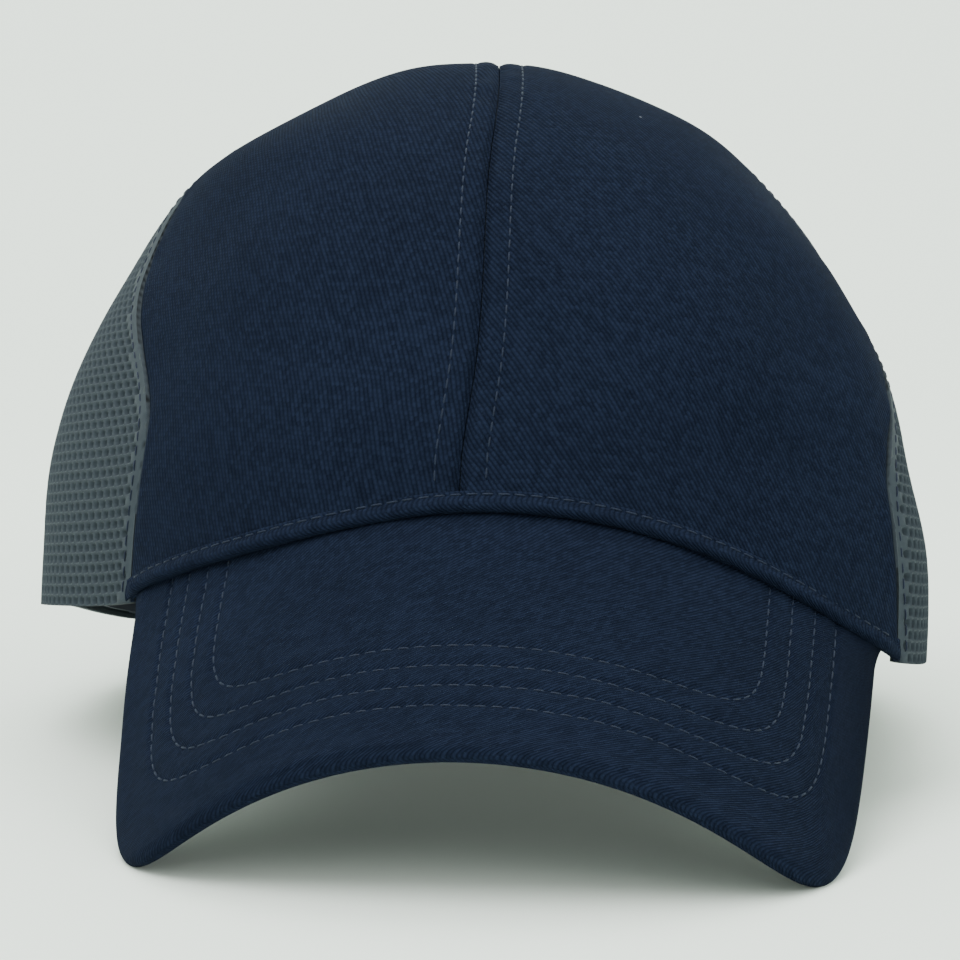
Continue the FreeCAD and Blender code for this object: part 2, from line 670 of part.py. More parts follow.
def main():
    pieces = {}
    pieces.update(crown_pieces())
    pieces.update(bill_pieces())
    pieces.update(strap_pieces())
    pieces.update(insert_pieces())
    angle = lean_angle(pieces)
    standing = {name: leaned(shape, angle) for name, shape in pieces.items()}
    box = Part.makeCompound(list(standing.values())).optimalBoundingBox(False, False)
    move = Vector(-(box.XMin + box.XMax) / 2, -(box.YMin + box.YMax) / 2, -box.ZMin)

    def placed(point):
        turned = Vector(point.x, point.y * math.cos(angle) + point.z * math.sin(angle),
                        -point.y * math.sin(angle) + point.z * math.cos(angle))
        return turned + move

    os.makedirs(PARTS_FOLDER, exist_ok=True)
    for name, shape in standing.items():
        shape.translate(move)
        shape.exportStep(os.path.join(PARTS_FOLDER, name + ".step"))
        if not shape.isValid() or shape.Volume <= 0:
            raise RuntimeError(name + " is not a valid solid")
    print("size", round(box.XLength, 2), round(box.YLength, 2), round(box.ZLength, 2))
    print("lean", round(math.degrees(angle), 3), "move", [round(value, 3) for value in move])
    print("crown axis", [0.0, round(math.sin(angle), 5), round(math.cos(angle), 5)])
    middle = STRAP_LIFT + STRAP_HEIGHT / 2
    for name, side, depth in (("hook", 1, hook_depth), ("loop", -1, loop_depth)):
        azimuth = (ROOT + FREE) / 2
        point = crown_point(azimuth, rise_at(azimuth, middle), depth(azimuth) - side * STRAP)
        point.x *= side
        print(name, "fold", [round(value, 3) for value in placed(point)])
    print("rim centre", [round(value, 3) for value in placed(Vector(0, 0, 0))])


main()
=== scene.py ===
"""Looks of a bump cap: two woven front panels, four mesh panels and a curved bill over a padded insert.

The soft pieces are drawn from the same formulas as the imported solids, in the crown's own frame: the rim plane
is z = 0, the front faces -Y and +X is the wearer's left. stand() then leans them back and sets them down
where the record says the rim's middle is. All lengths are in metres, and angles round the crown in degrees.
"""

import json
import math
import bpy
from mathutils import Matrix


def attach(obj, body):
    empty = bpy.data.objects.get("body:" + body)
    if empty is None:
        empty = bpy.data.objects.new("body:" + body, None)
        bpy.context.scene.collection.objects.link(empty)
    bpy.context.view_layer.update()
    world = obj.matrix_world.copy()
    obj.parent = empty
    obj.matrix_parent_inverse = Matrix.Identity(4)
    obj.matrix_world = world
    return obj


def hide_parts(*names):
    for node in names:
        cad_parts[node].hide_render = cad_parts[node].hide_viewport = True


bl_info = {
    "name": "Bump Cap Looks",
    "version": (1, 0, 0),
    "blender": (4, 5, 0),
    "location": "3D View > Sidebar > Bump Cap",
    "description": "Builds the cloth, mesh, stitching and foam of a bump cap around its packed parts",
    "category": "Object",
}

import bpy
import numpy as np
from bpy.props import FloatProperty, FloatVectorProperty, IntProperty, PointerProperty
from mathutils import Matrix, Vector

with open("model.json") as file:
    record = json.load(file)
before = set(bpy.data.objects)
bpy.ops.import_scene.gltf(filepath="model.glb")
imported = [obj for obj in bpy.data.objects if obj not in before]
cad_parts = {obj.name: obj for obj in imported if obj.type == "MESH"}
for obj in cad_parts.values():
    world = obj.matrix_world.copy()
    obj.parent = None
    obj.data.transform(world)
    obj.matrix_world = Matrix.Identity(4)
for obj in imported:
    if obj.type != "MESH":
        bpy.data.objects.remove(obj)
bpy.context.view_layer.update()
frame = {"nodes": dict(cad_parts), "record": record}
RECORD = frame["record"]

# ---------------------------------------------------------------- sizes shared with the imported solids
CROWN_HALF_WIDTH = 0.097
CROWN_FRONT = 0.104
CROWN_BACK = 0.098
CROWN_HEIGHT = 0.123
PLAN_POWER = 2.2
DOME_POWER = 2.12

TWILL = 0.001
BUCKRAM_DEPTH, BUCKRAM = 0.0012, 0.0008
MESH = 0.0018
PANEL_TIP = 0.0015
TAPE_DEPTH, TAPE = 0.0022, 0.0005
SWEATBAND_DEPTH, SWEATBAND, SWEATBAND_HEIGHT, SWEATBAND_LIFT = 0.0029, 0.0024, 0.032, 0.0015

# azimuth of each seam at the rim and at the top
CENTRE_SEAM = (0.0, 0.0)
FRONT_SEAM = (54.0, 80.0)
REAR_SEAM = (118.0, 130.0)
BACK_SEAM = (180.0, 180.0)
PANEL_GAP = 0.00012

BILL_SLOPE = math.radians(44.5)
BILL_BEND_ROOT, BILL_BEND_EDGE, BILL_BEND_START = 0.098, 0.0774, -0.012
BILL_REACH = 0.0705
BILL_HALF_SPAN = 0.089
BILL_SHOULDER = -0.006
BILL_POWER = 6.6
BILL_END_DROP = 0.0076
BILL_THICKNESS = 0.004
BILL_CLOTH = 0.0008
RIM_EASE = 50.0

OPENING_HALF_WIDTH, OPENING_HEIGHT = 0.048, 0.056
BINDING_WIDTH = 0.008

STRAP, STRAP_HEIGHT, STRAP_LIFT = 0.0016, 0.022, 0.0015
STRAP_ANCHOR, STRAP_ROOT, STRAP_FOLD, STRAP_STEP, STRAP_SHORT = 0.016, 0.006, 0.0008, 0.010, 0.014
PATCH, PATCH_MARGIN, PATCH_LENGTH = 0.0008, 0.0015, 0.046
LAYER_GAP = 0.0002
HOOK_STRAP_DEPTH, LOOP_STRAP_DEPTH, HOOK_PATCH_DEPTH = -0.0025, 0.003, -0.0013

SHELL_CLEARANCE, SHELL_TOP_CLEARANCE, SHELL = 0.010, 0.0068, 0.002
SHELL_RIM_FRONT, SHELL_RIM_SIDE, SHELL_RIM_BACK = 0.046, 0.038, 0.056
PAD, PAD_RIM_LIFT, PAD_TOP_RADIUS = 0.007, 0.004, 0.046
CROWN_PAD_RADIUS, CROWN_PAD_HOLE = 0.038, 0.012
GRIP_AZIMUTHS, GRIP_RISE, GRIP_SIZE = (32.0, 148.0, 212.0, 328.0), 57.0, 0.020
GRIP, GRIP_GAP = 0.002, 0.0003

LABEL_AZIMUTH, LABEL_WIDTH, LABEL_HEIGHT, LABEL_LIFT = 96.0, 0.038, 0.018, 0.006

RIM_MIDDLE = np.array(RECORD["mounts"][0]["pos_m"])
LIFT = next(joint for joint in RECORD["behaviour"]["joints"] if joint["name"] == "cap_lift")
LEAN_SINE, LEAN_COSINE = LIFT["axis"][1], LIFT["axis"][2]

# how the soft cloth differs from the even shape of the solids
BILL_SIDEWAYS, BILL_LOWERED = 0.0070, 0.0031
BILL_FADE, BILL_FADE_UP = (-0.066, 0.052), (0.035, 0.075)
CROWN_SIDEWAYS, BACK_FADE = -0.0052, (0.030, 0.055)
SEAM_SLANT, SLANT_REACH, SLANT_HEIGHT, SLANT_FADE = -0.0062, 0.075, 0.093, (-0.020, 0.050)
SEAM_BOW = 5.0
CROWN_ASIDE = math.tan(math.radians(1.9))
LOWEST_RISE, HIGHEST_RISE = -12.0, 89.5


# ---------------------------------------------------------------- settings
class CapSizes(bpy.types.PropertyGroup):
    """Sizes of the cloth and the sewing."""

    twill_pitch: FloatProperty(name="Twill Pitch", description="From one diagonal rib to the next",
                               default=0.0009, unit="LENGTH")
    hole_across: FloatProperty(name="Mesh Hole Spacing", description="From hole to hole along a row",
                               default=0.0026, unit="LENGTH")
    hole_up: FloatProperty(name="Mesh Row Spacing", description="From one row of holes to the next",
                           default=0.0022, unit="LENGTH")
    stitch_length: FloatProperty(name="Stitch Length", description="Thread that shows in one stitch",
                                 default=0.0026, unit="LENGTH")
    stitch_gap: FloatProperty(name="Stitch Gap", description="Cloth between two stitches",
                              default=0.0006, unit="LENGTH")
    thread: FloatProperty(name="Thread", description="Thickness of the sewing thread",
                          default=0.00042, unit="LENGTH")
    topstitch_offset: FloatProperty(name="Topstitch Offset", description="From the centre seam to each row",
                                    default=0.0055, unit="LENGTH")
    bill_rows: IntProperty(name="Bill Rows", description="Rows of stitches on the bill", default=4)
    bill_first_row: FloatProperty(name="First Bill Row", description="From the bill's edge to its outer row",
                                  default=0.0135, unit="LENGTH")
    bill_row_gap: FloatProperty(name="Bill Row Gap", description="From one bill row to the next",
                                default=0.0057, unit="LENGTH")


class CapColours(bpy.types.PropertyGroup):
    """Colours of the cloth, foam and plastic."""

    twill: FloatVectorProperty(name="Twill", description="Woven cloth", subtype="COLOR", size=3,
                               default=(0.0058, 0.0088, 0.0190), min=0, max=1)
    mesh: FloatVectorProperty(name="Mesh", description="Knitted spacer mesh", subtype="COLOR", size=3,
                              default=(0.0040, 0.0054, 0.0092), min=0, max=1)
    thread: FloatVectorProperty(name="Thread", description="Sewing thread", subtype="COLOR", size=3,
                                default=(0.0080, 0.0120, 0.0250), min=0, max=1)
    tape: FloatVectorProperty(name="Tape", description="Cotton tape, webbing and towelling", subtype="COLOR",
                              size=3, default=(0.0045, 0.0075, 0.017), min=0, max=1)
    foam: FloatVectorProperty(name="Foam", description="Pads of the insert", subtype="COLOR", size=3,
                              default=(0.045, 0.047, 0.052), min=0, max=1)
    shell: FloatVectorProperty(name="Shell", description="Hard insert", subtype="COLOR", size=3,
                               default=(0.016, 0.016, 0.018), min=0, max=1)
    label: FloatVectorProperty(name="Label", description="Blank care label", subtype="COLOR", size=3,
                               default=(0.62, 0.62, 0.6), min=0, max=1)
    floor: FloatVectorProperty(name="Floor", description="Floor and backdrop", subtype="COLOR", size=3,
                               default=(0.79, 0.85, 0.79), min=0, max=1)


def sizes():
    return bpy.context.scene.cap_sizes


def colours():
    return bpy.context.scene.cap_colours


# ---------------------------------------------------------------- the crown's surface
def rounding(angle, power):
    """Distance from the centre to a unit superellipse at this angle."""
    c = np.abs(np.cos(np.radians(angle)))
    s = np.abs(np.sin(np.radians(angle)))
    return (c ** power + s ** power) ** (-1.0 / power)


def on_crown(azimuth, rise):
    up = rounding(rise, DOME_POWER)
    level = rounding(azimuth, PLAN_POWER) * up * np.cos(np.radians(rise))
    forward = np.cos(np.radians(azimuth))
    length = np.where(forward > 0, CROWN_FRONT, CROWN_BACK)
    return np.stack([CROWN_HALF_WIDTH * np.sin(np.radians(azimuth)) * level, -length * forward * level,
                     CROWN_HEIGHT * np.sin(np.radians(rise)) * up + 0 * level], -1)


def crown_normal(azimuth, rise):
    step = 0.2
    along = on_crown(azimuth + step, rise) - on_crown(azimuth - step, rise)
    upward = on_crown(azimuth, rise + step) - on_crown(azimuth, rise - step)
    out = np.cross(along, upward)
    return out / np.linalg.norm(out, axis=-1, keepdims=True)


def bump(distance, width):
    """1 on a line and 0 away from it."""
    return np.exp(-(np.asarray(distance) / width) ** 2)


def smooth(share):
    share = np.clip(share, 0.0, 1.0)
    return share * share * (3 - 2 * share)


def eased(place, span):
    """From 0 at the start of a span to 1 at its end; span is a start and a length."""
    return smooth((place - span[0]) / span[1])


def softened(values):
    """Depths in mm at DENT_RISES, blurred into a smooth table in metres."""
    table = np.interp(DENT_STEPS, DENT_RISES, values)
    window = bump(np.arange(-24, 25), 12.0)
    return np.convolve(np.pad(table, 24, mode="edge"), window / window.sum(), mode="valid") / 1000


DENT_RISES = (-12, 5, 12.5, 22, 30, 36, 42, 48.6, 56, 63, 71, 78, 85, 90)
DENT_STEPS = np.arange(-12.0, 90.01, 0.25)
LEFT_DENT = softened((-2.4, -2.4, 0.9, 1.6, 2.6, 2.0, 1.9, 2.2, 2.2, 4.2, 5.0, 4.0, 2.4, 2.2))
RIGHT_DENT = softened((0.9, 0.9, -0.7, -1.1, -1.0, -0.4, -1.0, -1.4, 0.0, 0.5, 0.2, 0.4, 1.6, 2.2))


def dent(azimuth, rise):
    """How far the soft crown sinks in from the even shape, or swells out where it is negative."""
    side = np.sin(np.radians(azimuth))
    crest = 0.0016 * bump(rise - 55.0, 17.0) + 0.0022 * smooth((rise - 72.0) / 18.0)
    left, right = (np.interp(rise, DENT_STEPS, table) for table in (LEFT_DENT, RIGHT_DENT))
    flank = np.where(side > 0, left, right)
    return crest + (flank - crest) * side ** 2


def crown(azimuth, rise, depth=0.0):
    """Points at this depth below the soft crown's outside, along its normal."""
    azimuth, rise, depth = np.broadcast_arrays(*(np.asarray(a, float) for a in (azimuth, rise, depth)))
    points = on_crown(azimuth, rise) - crown_normal(azimuth, rise) * (depth + dent(azimuth, rise))[..., None]
    x, y, z = np.moveaxis(points, -1, 0)
    ahead, behind = 1 - eased(y, BILL_FADE), eased(y, BACK_FADE)
    shift = BILL_SIDEWAYS * ahead * (1 - eased(z, BILL_FADE_UP))
    shift = shift + CROWN_SIDEWAYS * (1 - ahead) * (1 - behind)
    middle = (1 - np.clip(x / SLANT_REACH, -1, 1) ** 2) ** 2 * (1 - eased(y, SLANT_FADE))
    shift = shift + SEAM_SLANT * middle * np.clip((CROWN_HEIGHT - z) / SLANT_HEIGHT, 0, 1.1)
    return np.stack([x + shift + CROWN_ASIDE * (z - 0.015) * smooth(z / 0.04) * (1 - behind), y, z], -1)


def halve(below, low, high):
    """Values between low and high where below() turns from true to false."""
    low, high = np.array(low, float), np.array(high, float)
    for _ in range(28):
        middle = (low + high) / 2
        under = below(middle)
        low, high = np.where(under, middle, low), np.where(under, high, middle)
    return (low + high) / 2


def rise_at(azimuth, height, depth=0.0):
    azimuth, height = np.broadcast_arrays(np.asarray(azimuth, float), np.asarray(height, float))
    return halve(lambda rise: crown(azimuth, rise, depth)[..., 2] < height,
                 np.full(azimuth.shape, LOWEST_RISE), np.full(azimuth.shape, HIGHEST_RISE))


def rise_at_radius(azimuth, radius):
    azimuth = np.asarray(azimuth, float)
    return halve(lambda rise: np.hypot(*np.moveaxis(on_crown(azimuth, rise)[..., :2], -1, 0)) > radius,
                 np.full(azimuth.shape, 30.0), np.full(azimuth.shape, 90.0))


# ---------------------------------------------------------------- the bill's surface
def bend_at(reach):
    share = np.clip((reach - BILL_BEND_START) / (BILL_REACH - BILL_BEND_START), 0, 1)
    return BILL_BEND_ROOT + (BILL_BEND_EDGE - BILL_BEND_ROOT) * share


def from_root(span, reach, depth):
    """span is measured round the bend from the middle, reach down the slope, depth below the top face."""
    bend = bend_at(reach)
    out = (bend - depth) * np.sin(span / bend)
    drop = bend - (bend - depth) * np.cos(span / bend)
    sine, cosine = math.sin(BILL_SLOPE), math.cos(BILL_SLOPE)
    twist = CROWN_ASIDE * out * (1 - smooth((reach + 0.010) / 0.050))
    return np.stack([out, -reach * cosine + drop * sine, -reach * sine - drop * cosine - twist], -1)


def span_and_reach(x, y, depth):
    """Where the bill, at this depth, passes over or under these places."""
    reach = np.zeros(np.shape(x))
    for _ in range(8):
        bend = bend_at(reach)
        span = bend * np.arcsin(np.clip(x / (bend - depth), -0.999, 0.999))
        drop = bend - (bend - depth) * np.cos(span / bend)
        reach = (-CROWN_FRONT + drop * math.sin(BILL_SLOPE) - y) / math.cos(BILL_SLOPE)
    return span, reach


def height_from_root(x, y):
    return from_root(*span_and_reach(x, y, 0.0), 0.0)[..., 2]


BILL_END = on_crown(np.array(FRONT_SEAM[0]), np.array(0.0))
BILL_ENDS = height_from_root(BILL_END[0] * np.array([1, -1]), BILL_END[1])
BILL_ROOT = np.array([BILL_SIDEWAYS, -CROWN_FRONT, -BILL_END_DROP - BILL_LOWERED - BILL_ENDS.mean()])


def bill(span, reach, depth=0.0):
    span, reach, depth = np.broadcast_arrays(*(np.asarray(a, float) for a in (span, reach, depth)))
    return BILL_ROOT + from_root(span, reach, depth)


def bill_outline(share, margin):
    """span and reach on a line that runs this far inside the bill's edge, share from -1 to 1."""
    angle = 90.0 - 90.0 * share
    out = rounding(angle, BILL_POWER)
    return ((BILL_HALF_SPAN - margin) * out * np.cos(np.radians(angle)),
            BILL_SHOULDER + (BILL_REACH - margin - BILL_SHOULDER) * out * np.sin(np.radians(angle)))


def inset(span, reach):
    """How far inside the bill's edge a place lies."""
    ahead = np.maximum(reach - BILL_SHOULDER, 0.0)
    low, high = np.full(np.shape(span), -0.01), np.full(np.shape(span), BILL_REACH - BILL_SHOULDER - 1e-4)

    def inside(margin):
        across = np.abs(span) / (BILL_HALF_SPAN - margin)
        along = ahead / (BILL_REACH - margin - BILL_SHOULDER)
        return across ** BILL_POWER + along ** BILL_POWER < 1
    return halve(inside, low, high)


# ---------------------------------------------------------------- the crown's lower edge
TURNS = np.linspace(-180.0, 180.0, 721)
EDGE_TABLES = {}


def edge_height(azimuth, depth):
    """Height of the crown's lower edge: on the bill's top face in front, eased to the rim plane behind."""
    turn = np.clip(azimuth, -FRONT_SEAM[0], FRONT_SEAM[0])

    def below_bill(rise):
        point = crown(turn, rise, depth)
        return point[..., 2] < BILL_ROOT[2] + height_from_root(point[..., 0] - BILL_SIDEWAYS, point[..., 1])

    rise = halve(below_bill, np.full(turn.shape, LOWEST_RISE), np.full(turn.shape, 60.0))
    front = crown(turn, rise, depth)[..., 2]
    return front * (1 - smooth((np.abs(azimuth) - FRONT_SEAM[0]) / RIM_EASE))


def edge_rise(azimuth, lift=0.0, depth=0.0):
    """Rise of a line that stays this far above the crown's lower edge."""
    key = (round(lift, 6), round(depth, 6))
    if key not in EDGE_TABLES:
        EDGE_TABLES[key] = rise_at(TURNS, edge_height(TURNS, depth) + lift, depth)
    return np.interp((np.asarray(azimuth) + 180.0) % 360.0 - 180.0, TURNS, EDGE_TABLES[key])


def seam_azimuth(seam, up):
    bow = SEAM_BOW * bump(np.asarray(up) - 0.20, 0.12) if seam == FRONT_SEAM else 0.0
    return seam[0] + (seam[1] - seam[0]) * smooth(np.asarray(up) * 1.25) - bow


def tip_rise(radius):
    table = rise_at_radius(TURNS, radius)
    return lambda azimuth: np.interp((np.asarray(azimuth) + 180.0) % 360.0 - 180.0, TURNS, table)


PANEL_TOP = tip_rise(PANEL_TIP)


def stand(points):
    """From the crown's frame to where the cap stands."""
    x, y, z = np.moveaxis(np.asarray(points, float), -1, 0)
    return np.stack([x, y * LEAN_COSINE + z * LEAN_SINE, -y * LEAN_SINE + z * LEAN_COSINE], -1) + RIM_MIDDLE


# ---------------------------------------------------------------- soft unevenness
def waves(seed, count, shortest, longest):
    """A smooth uneven field over space: a sum of waves in random directions."""
    draw = np.random.default_rng(seed)
    ways = draw.normal(size=(count, 3))
    ways /= np.linalg.norm(ways, axis=1, keepdims=True)
    ways *= 2 * np.pi / draw.uniform(shortest, longest, (count, 1))
    starts = draw.uniform(0, 2 * np.pi, count)

    def field(points):
        return np.sin(points @ ways.T + starts).sum(-1) / math.sqrt(count)
    return field


SLACK = waves(3, 9, 0.035, 0.090)
RIPPLE = waves(5, 12, 0.006, 0.016)


# ---------------------------------------------------------------- meshes
def add_object(name, points, faces, uv=None, pit_shade=None):
    """A mesh object from points in the crown's frame."""
    mesh = bpy.data.meshes.new(name)
    mesh.from_pydata(stand(points).tolist(), [], [tuple(map(int, face)) for face in faces])
    mesh.validate()
    if uv is not None:
        layer = mesh.uv_layers.new(name="cloth")
        loops = np.zeros(len(mesh.loops), int)
        mesh.loops.foreach_get("vertex_index", loops)
        layer.data.foreach_set("uv", np.asarray(uv)[loops].astype(np.float32).ravel())
    # pit_shade is kept as a point attribute: painted shade that the mesh material reads.
    if pit_shade is not None:
        mesh.attributes.new("pit_shade", "FLOAT", "POINT").data.foreach_set("value", np.asarray(pit_shade, np.float32))
    mesh.shade_smooth()
    made = bpy.data.objects.new(name, mesh)
    bpy.context.scene.collection.objects.link(made)
    return made


def finish_piece(made, body, material, slot, *nodes):
    made.data.materials.append(material)
    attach(made, body)
    if nodes:
        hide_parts(*nodes)
    return made


def quads(rows, columns, start=0, wrap=False):
    """Faces of a grid of points laid row by row."""
    index = np.arange(rows * columns).reshape(rows, columns) + start
    if wrap:
        index = np.concatenate([index, index[:, :1]], 1)
    return np.stack([index[:-1, :-1], index[:-1, 1:], index[1:, 1:], index[1:, :-1]], -1).reshape(-1, 4)


def cloth_uv(grid):
    """Lengths along the rows and the columns of a grid of points."""
    across = np.zeros(grid.shape[:2])
    up = np.zeros(grid.shape[:2])
    across[:, 1:] = np.linalg.norm(np.diff(grid, axis=1), axis=-1).cumsum(1)
    up[1:] = np.linalg.norm(np.diff(grid, axis=0), axis=-1).cumsum(0)
    return across, up


def slab(name, outer, inner, turn=0.0, wrap=False, start=0.0):
    """A closed sheet between two grids of points, with rounded edges; turn sets the cloth's grain."""
    rows, columns = outer.shape[:2]
    across, up = cloth_uv(outer)
    across = across + start
    c, s = math.cos(turn), math.sin(turn)
    uv = np.stack([across * c - up * s, across * s + up * c], -1).reshape(-1, 2)
    total = rows * columns
    faces = [quads(rows, columns, 0, wrap), quads(rows, columns, total, wrap)[:, ::-1]]
    index = np.arange(total).reshape(rows, columns)
    bottom, top = index[0], index[-1]
    if wrap:
        rims = [np.append(bottom, bottom[0]), np.append(top, top[0])[::-1]]
    else:
        rims = [np.concatenate([bottom, index[1:, -1], top[::-1][1:], index[::-1, 0][1:]])]
    for rim in rims:
        faces.append(np.stack([rim[:-1], rim[:-1] + total, rim[1:] + total, rim[1:]], -1))
    points = np.concatenate([outer.reshape(-1, 3), inner.reshape(-1, 3)])
    return add_object(name, points, np.concatenate(faces), np.concatenate([uv, uv]))


def clustered(count, start_step, end_step):
    """Shares from 0 to 1 that crowd together at either end, by the ratio of the end steps to the middle."""
    place = np.linspace(0, 1, 2001)
    density = 1 + (1 / start_step - 1) * bump(place, 0.06) + (1 / end_step - 1) * bump(1 - place, 0.06)
    total = np.concatenate([[0], (density[1:] + density[:-1]).cumsum()])
    return np.interp(np.linspace(0, 1, count), total / total[-1], place)


# ---------------------------------------------------------------- stitches
def thread_run(line, normals, stitch, gap, thick, seed=0, sink=0.35):
    """Points and faces of a row of stitches that follows a line."""
    draw = np.random.default_rng(seed)
    steps = np.linalg.norm(np.diff(line, axis=0), axis=-1)
    length = np.concatenate([[0], steps.cumsum()])
    count = int(length[-1] / (stitch + gap))
    shares = np.array([0.0, 0.06, 0.2, 0.5, 0.8, 0.94, 1.0])
    widths = np.array([0.3, 0.75, 0.97, 1.0, 0.97, 0.75, 0.3])
    sinks = np.array([1.7, 0.75, 0.15, 0.0, 0.15, 0.75, 1.7])
    around = np.linspace(0, 2 * np.pi, 8, endpoint=False)
    points, faces = [], []
    for i in range(count):
        begin = (i + 0.5 * gap / (stitch + gap)) * (stitch + gap) + draw.normal(0, 0.04) * gap
        at = begin + shares * stitch * draw.uniform(0.95, 1.03)
        spine = np.stack([np.interp(at, length, line[:, k]) for k in range(3)], -1)
        up = np.stack([np.interp(at, length, normals[:, k]) for k in range(3)], -1)
        up /= np.linalg.norm(up, axis=-1, keepdims=True)
        ahead = np.gradient(spine, axis=0)
        side = np.cross(ahead, up)
        side /= np.linalg.norm(side, axis=-1, keepdims=True)
        spine = spine + side * (np.linspace(-1, 1, 7)[:, None] * draw.normal(0, 0.10) * thick)
        spine = spine + up * (thick * (0.5 - sink) - sinks[:, None] * thick * 0.6)
        rings = (spine[:, None]
                 + side[:, None] * (np.cos(around) * thick * 0.5)[None, :, None] * widths[:, None, None]
                 + up[:, None] * (np.sin(around) * thick * 0.45)[None, :, None] * widths[:, None, None])
        first = len(points) * 56
        points.append(rings.reshape(-1, 3))
        faces += quads(7, 8, first, True).tolist()
        faces += [list(range(first, first + 8))[::-1], list(range(first + 48, first + 56))]
    return np.concatenate(points), faces


def stitch_object(name, runs):
    points, faces, start = [], [], 0
    for some, its_faces in runs:
        points.append(some)
        faces += [[index + start for index in face] for face in its_faces]
        start += len(some)
    return add_object(name, np.concatenate(points), faces)


def crown_run(azimuth, rise, depth, seed, **more):
    line = crown(azimuth, rise, depth)
    kit = sizes()
    return thread_run(line, crown_normal(np.asarray(azimuth, float), np.asarray(rise, float)),
                      kit.stitch_length, kit.stitch_gap, kit.thread, seed, **more)


# ---------------------------------------------------------------- shader wiring
class Wiring:
    """Adds nodes to one tree and joins them."""

    def __init__(self, tree):
        self.tree = tree

    def node(self, kind, inputs=(), **settings):
        made = self.tree.nodes.new(kind)
        for key, value in settings.items():
            setattr(made, key, value)
        for socket, value in dict(inputs).items():
            self.feed(made.inputs[socket], value)
        return made

    def feed(self, socket, value):
        if isinstance(value, bpy.types.NodeSocket):
            self.tree.links.new(value, socket)
        elif value is not None:
            socket.default_value = value

    def sum(self, kind, a, b=None, c=None):
        return self.node("ShaderNodeMath", {0: a, 1: b, 2: c}, operation=kind).outputs[0]

    def ramp(self, value, low, high, to_low=0.0, to_high=1.0):
        return self.node("ShaderNodeMapRange", {"Value": value, "From Min": low, "From Max": high,
                                                "To Min": to_low, "To Max": to_high}).outputs[0]

    def mix(self, factor, a, b, blend="MIX"):
        made = self.node("ShaderNodeMix", data_type="RGBA", blend_type=blend)
        for socket, value in ((0, factor), (6, a), (7, b)):
            self.feed(made.inputs[socket], value)
        return made.outputs[2]

    def noise(self, vector, scale, detail=2.0, rough=0.5):
        return self.node("ShaderNodeTexNoise", {"Vector": vector, "Scale": scale, "Detail": detail,
                                                "Roughness": rough}).outputs["Fac"]


def new_group(name, inputs, outputs):
    """A shader node group with named sockets; returns its wiring, its inputs and its output node."""
    tree = bpy.data.node_groups.new(name, "ShaderNodeTree")
    for label, kind, value in inputs:
        socket = tree.interface.new_socket(name=label, in_out="INPUT", socket_type=kind)
        if value is not None:
            socket.default_value = value
    for label, kind in outputs:
        tree.interface.new_socket(name=label, in_out="OUTPUT", socket_type=kind)
    wires = Wiring(tree)
    return wires, wires.node("NodeGroupInput").outputs, wires.node("NodeGroupOutput").inputs


FLOAT, VECTOR = "NodeSocketFloat", "NodeSocketVector"


def twill_group():
    """Diagonal ribs of short floats, with uneven yarns. Vector is in metres of cloth."""
    wires, given, result = new_group(
        "Twill Weave", [("Vector", VECTOR, None), ("Pitch", FLOAT, 0.001), ("Slant", FLOAT, 0.5),
                        ("Unevenness", FLOAT, 0.5)],
        [("Height", FLOAT), ("Tint", FLOAT)])
    split = wires.node("ShaderNodeSeparateXYZ", {0: given["Vector"]})
    u = wires.sum("DIVIDE", split.outputs[0], given["Pitch"])
    v = wires.sum("DIVIDE", split.outputs[1], given["Pitch"])
    wander = wires.noise(given["Vector"], 90.0, 2.0)
    across = wires.sum("ADD", u, wires.sum("MULTIPLY", wander, 0.9))
    rib_number = wires.sum("FLOOR", across)
    rib = wires.sum("PINGPONG", across, 0.5)
    rib_high = wires.sum("POWER", wires.sum("MULTIPLY", rib, 2.0), 0.65)
    along = wires.sum("ADD", wires.sum("MULTIPLY", v, 0.8), wires.sum("MULTIPLY", rib_number, given["Slant"]))
    float_number = wires.sum("FLOOR", along)
    float_shape = wires.sum("PINGPONG", along, 0.5)
    float_high = wires.sum("POWER", wires.sum("MULTIPLY", float_shape, 2.0), 0.5)
    cell = wires.node("ShaderNodeCombineXYZ", {0: rib_number, 1: float_number})
    jitter = wires.node("ShaderNodeTexWhiteNoise", {"Vector": cell.outputs[0]},
                        noise_dimensions="2D").outputs["Value"]
    high = wires.sum("MULTIPLY", rib_high, wires.sum("MULTIPLY_ADD", float_high, 0.45, 0.55))
    high = wires.sum("MULTIPLY", high, wires.ramp(jitter, 0, 1, 0.82, 1.0))
    wires.feed(result["Height"], high)
    fuzz = wires.noise(given["Vector"], 2600.0, 2.0, 0.7)
    spread = wires.sum("MULTIPLY", wires.sum("SUBTRACT", jitter, 0.5), given["Unevenness"])
    tint = wires.sum("ADD", wires.sum("MULTIPLY_ADD", high, 0.75, 0.55), spread)
    tint = wires.sum("ADD", tint, wires.ramp(fuzz, 0.3, 0.7, -0.12, 0.12))
    wires.feed(result["Tint"], tint)
    return wires.tree


def lint_group():
    """A few pale specks and a faint cloudiness."""
    wires, given, result = new_group(
        "Lint and Dust", [("Vector", VECTOR, None), ("Amount", FLOAT, 0.5)],
        [("Speck", FLOAT), ("Cloud", FLOAT)])
    spots = wires.node("ShaderNodeTexVoronoi", {"Vector": given["Vector"], "Scale": 95.0})
    near = wires.ramp(spots.outputs["Distance"], 0.020, 0.035, 1.0, 0.0)
    chosen = wires.node("ShaderNodeSeparateColor", {0: spots.outputs["Color"]}).outputs[0]
    limit = wires.sum("SUBTRACT", 1.0, wires.sum("MULTIPLY", given["Amount"], 0.1))
    few = wires.sum("GREATER_THAN", chosen, limit)
    wires.feed(result["Speck"], wires.sum("MULTIPLY", near, few))
    wires.feed(result["Cloud"], wires.noise(given["Vector"], 22.0, 4.0, 0.6))
    return wires.tree


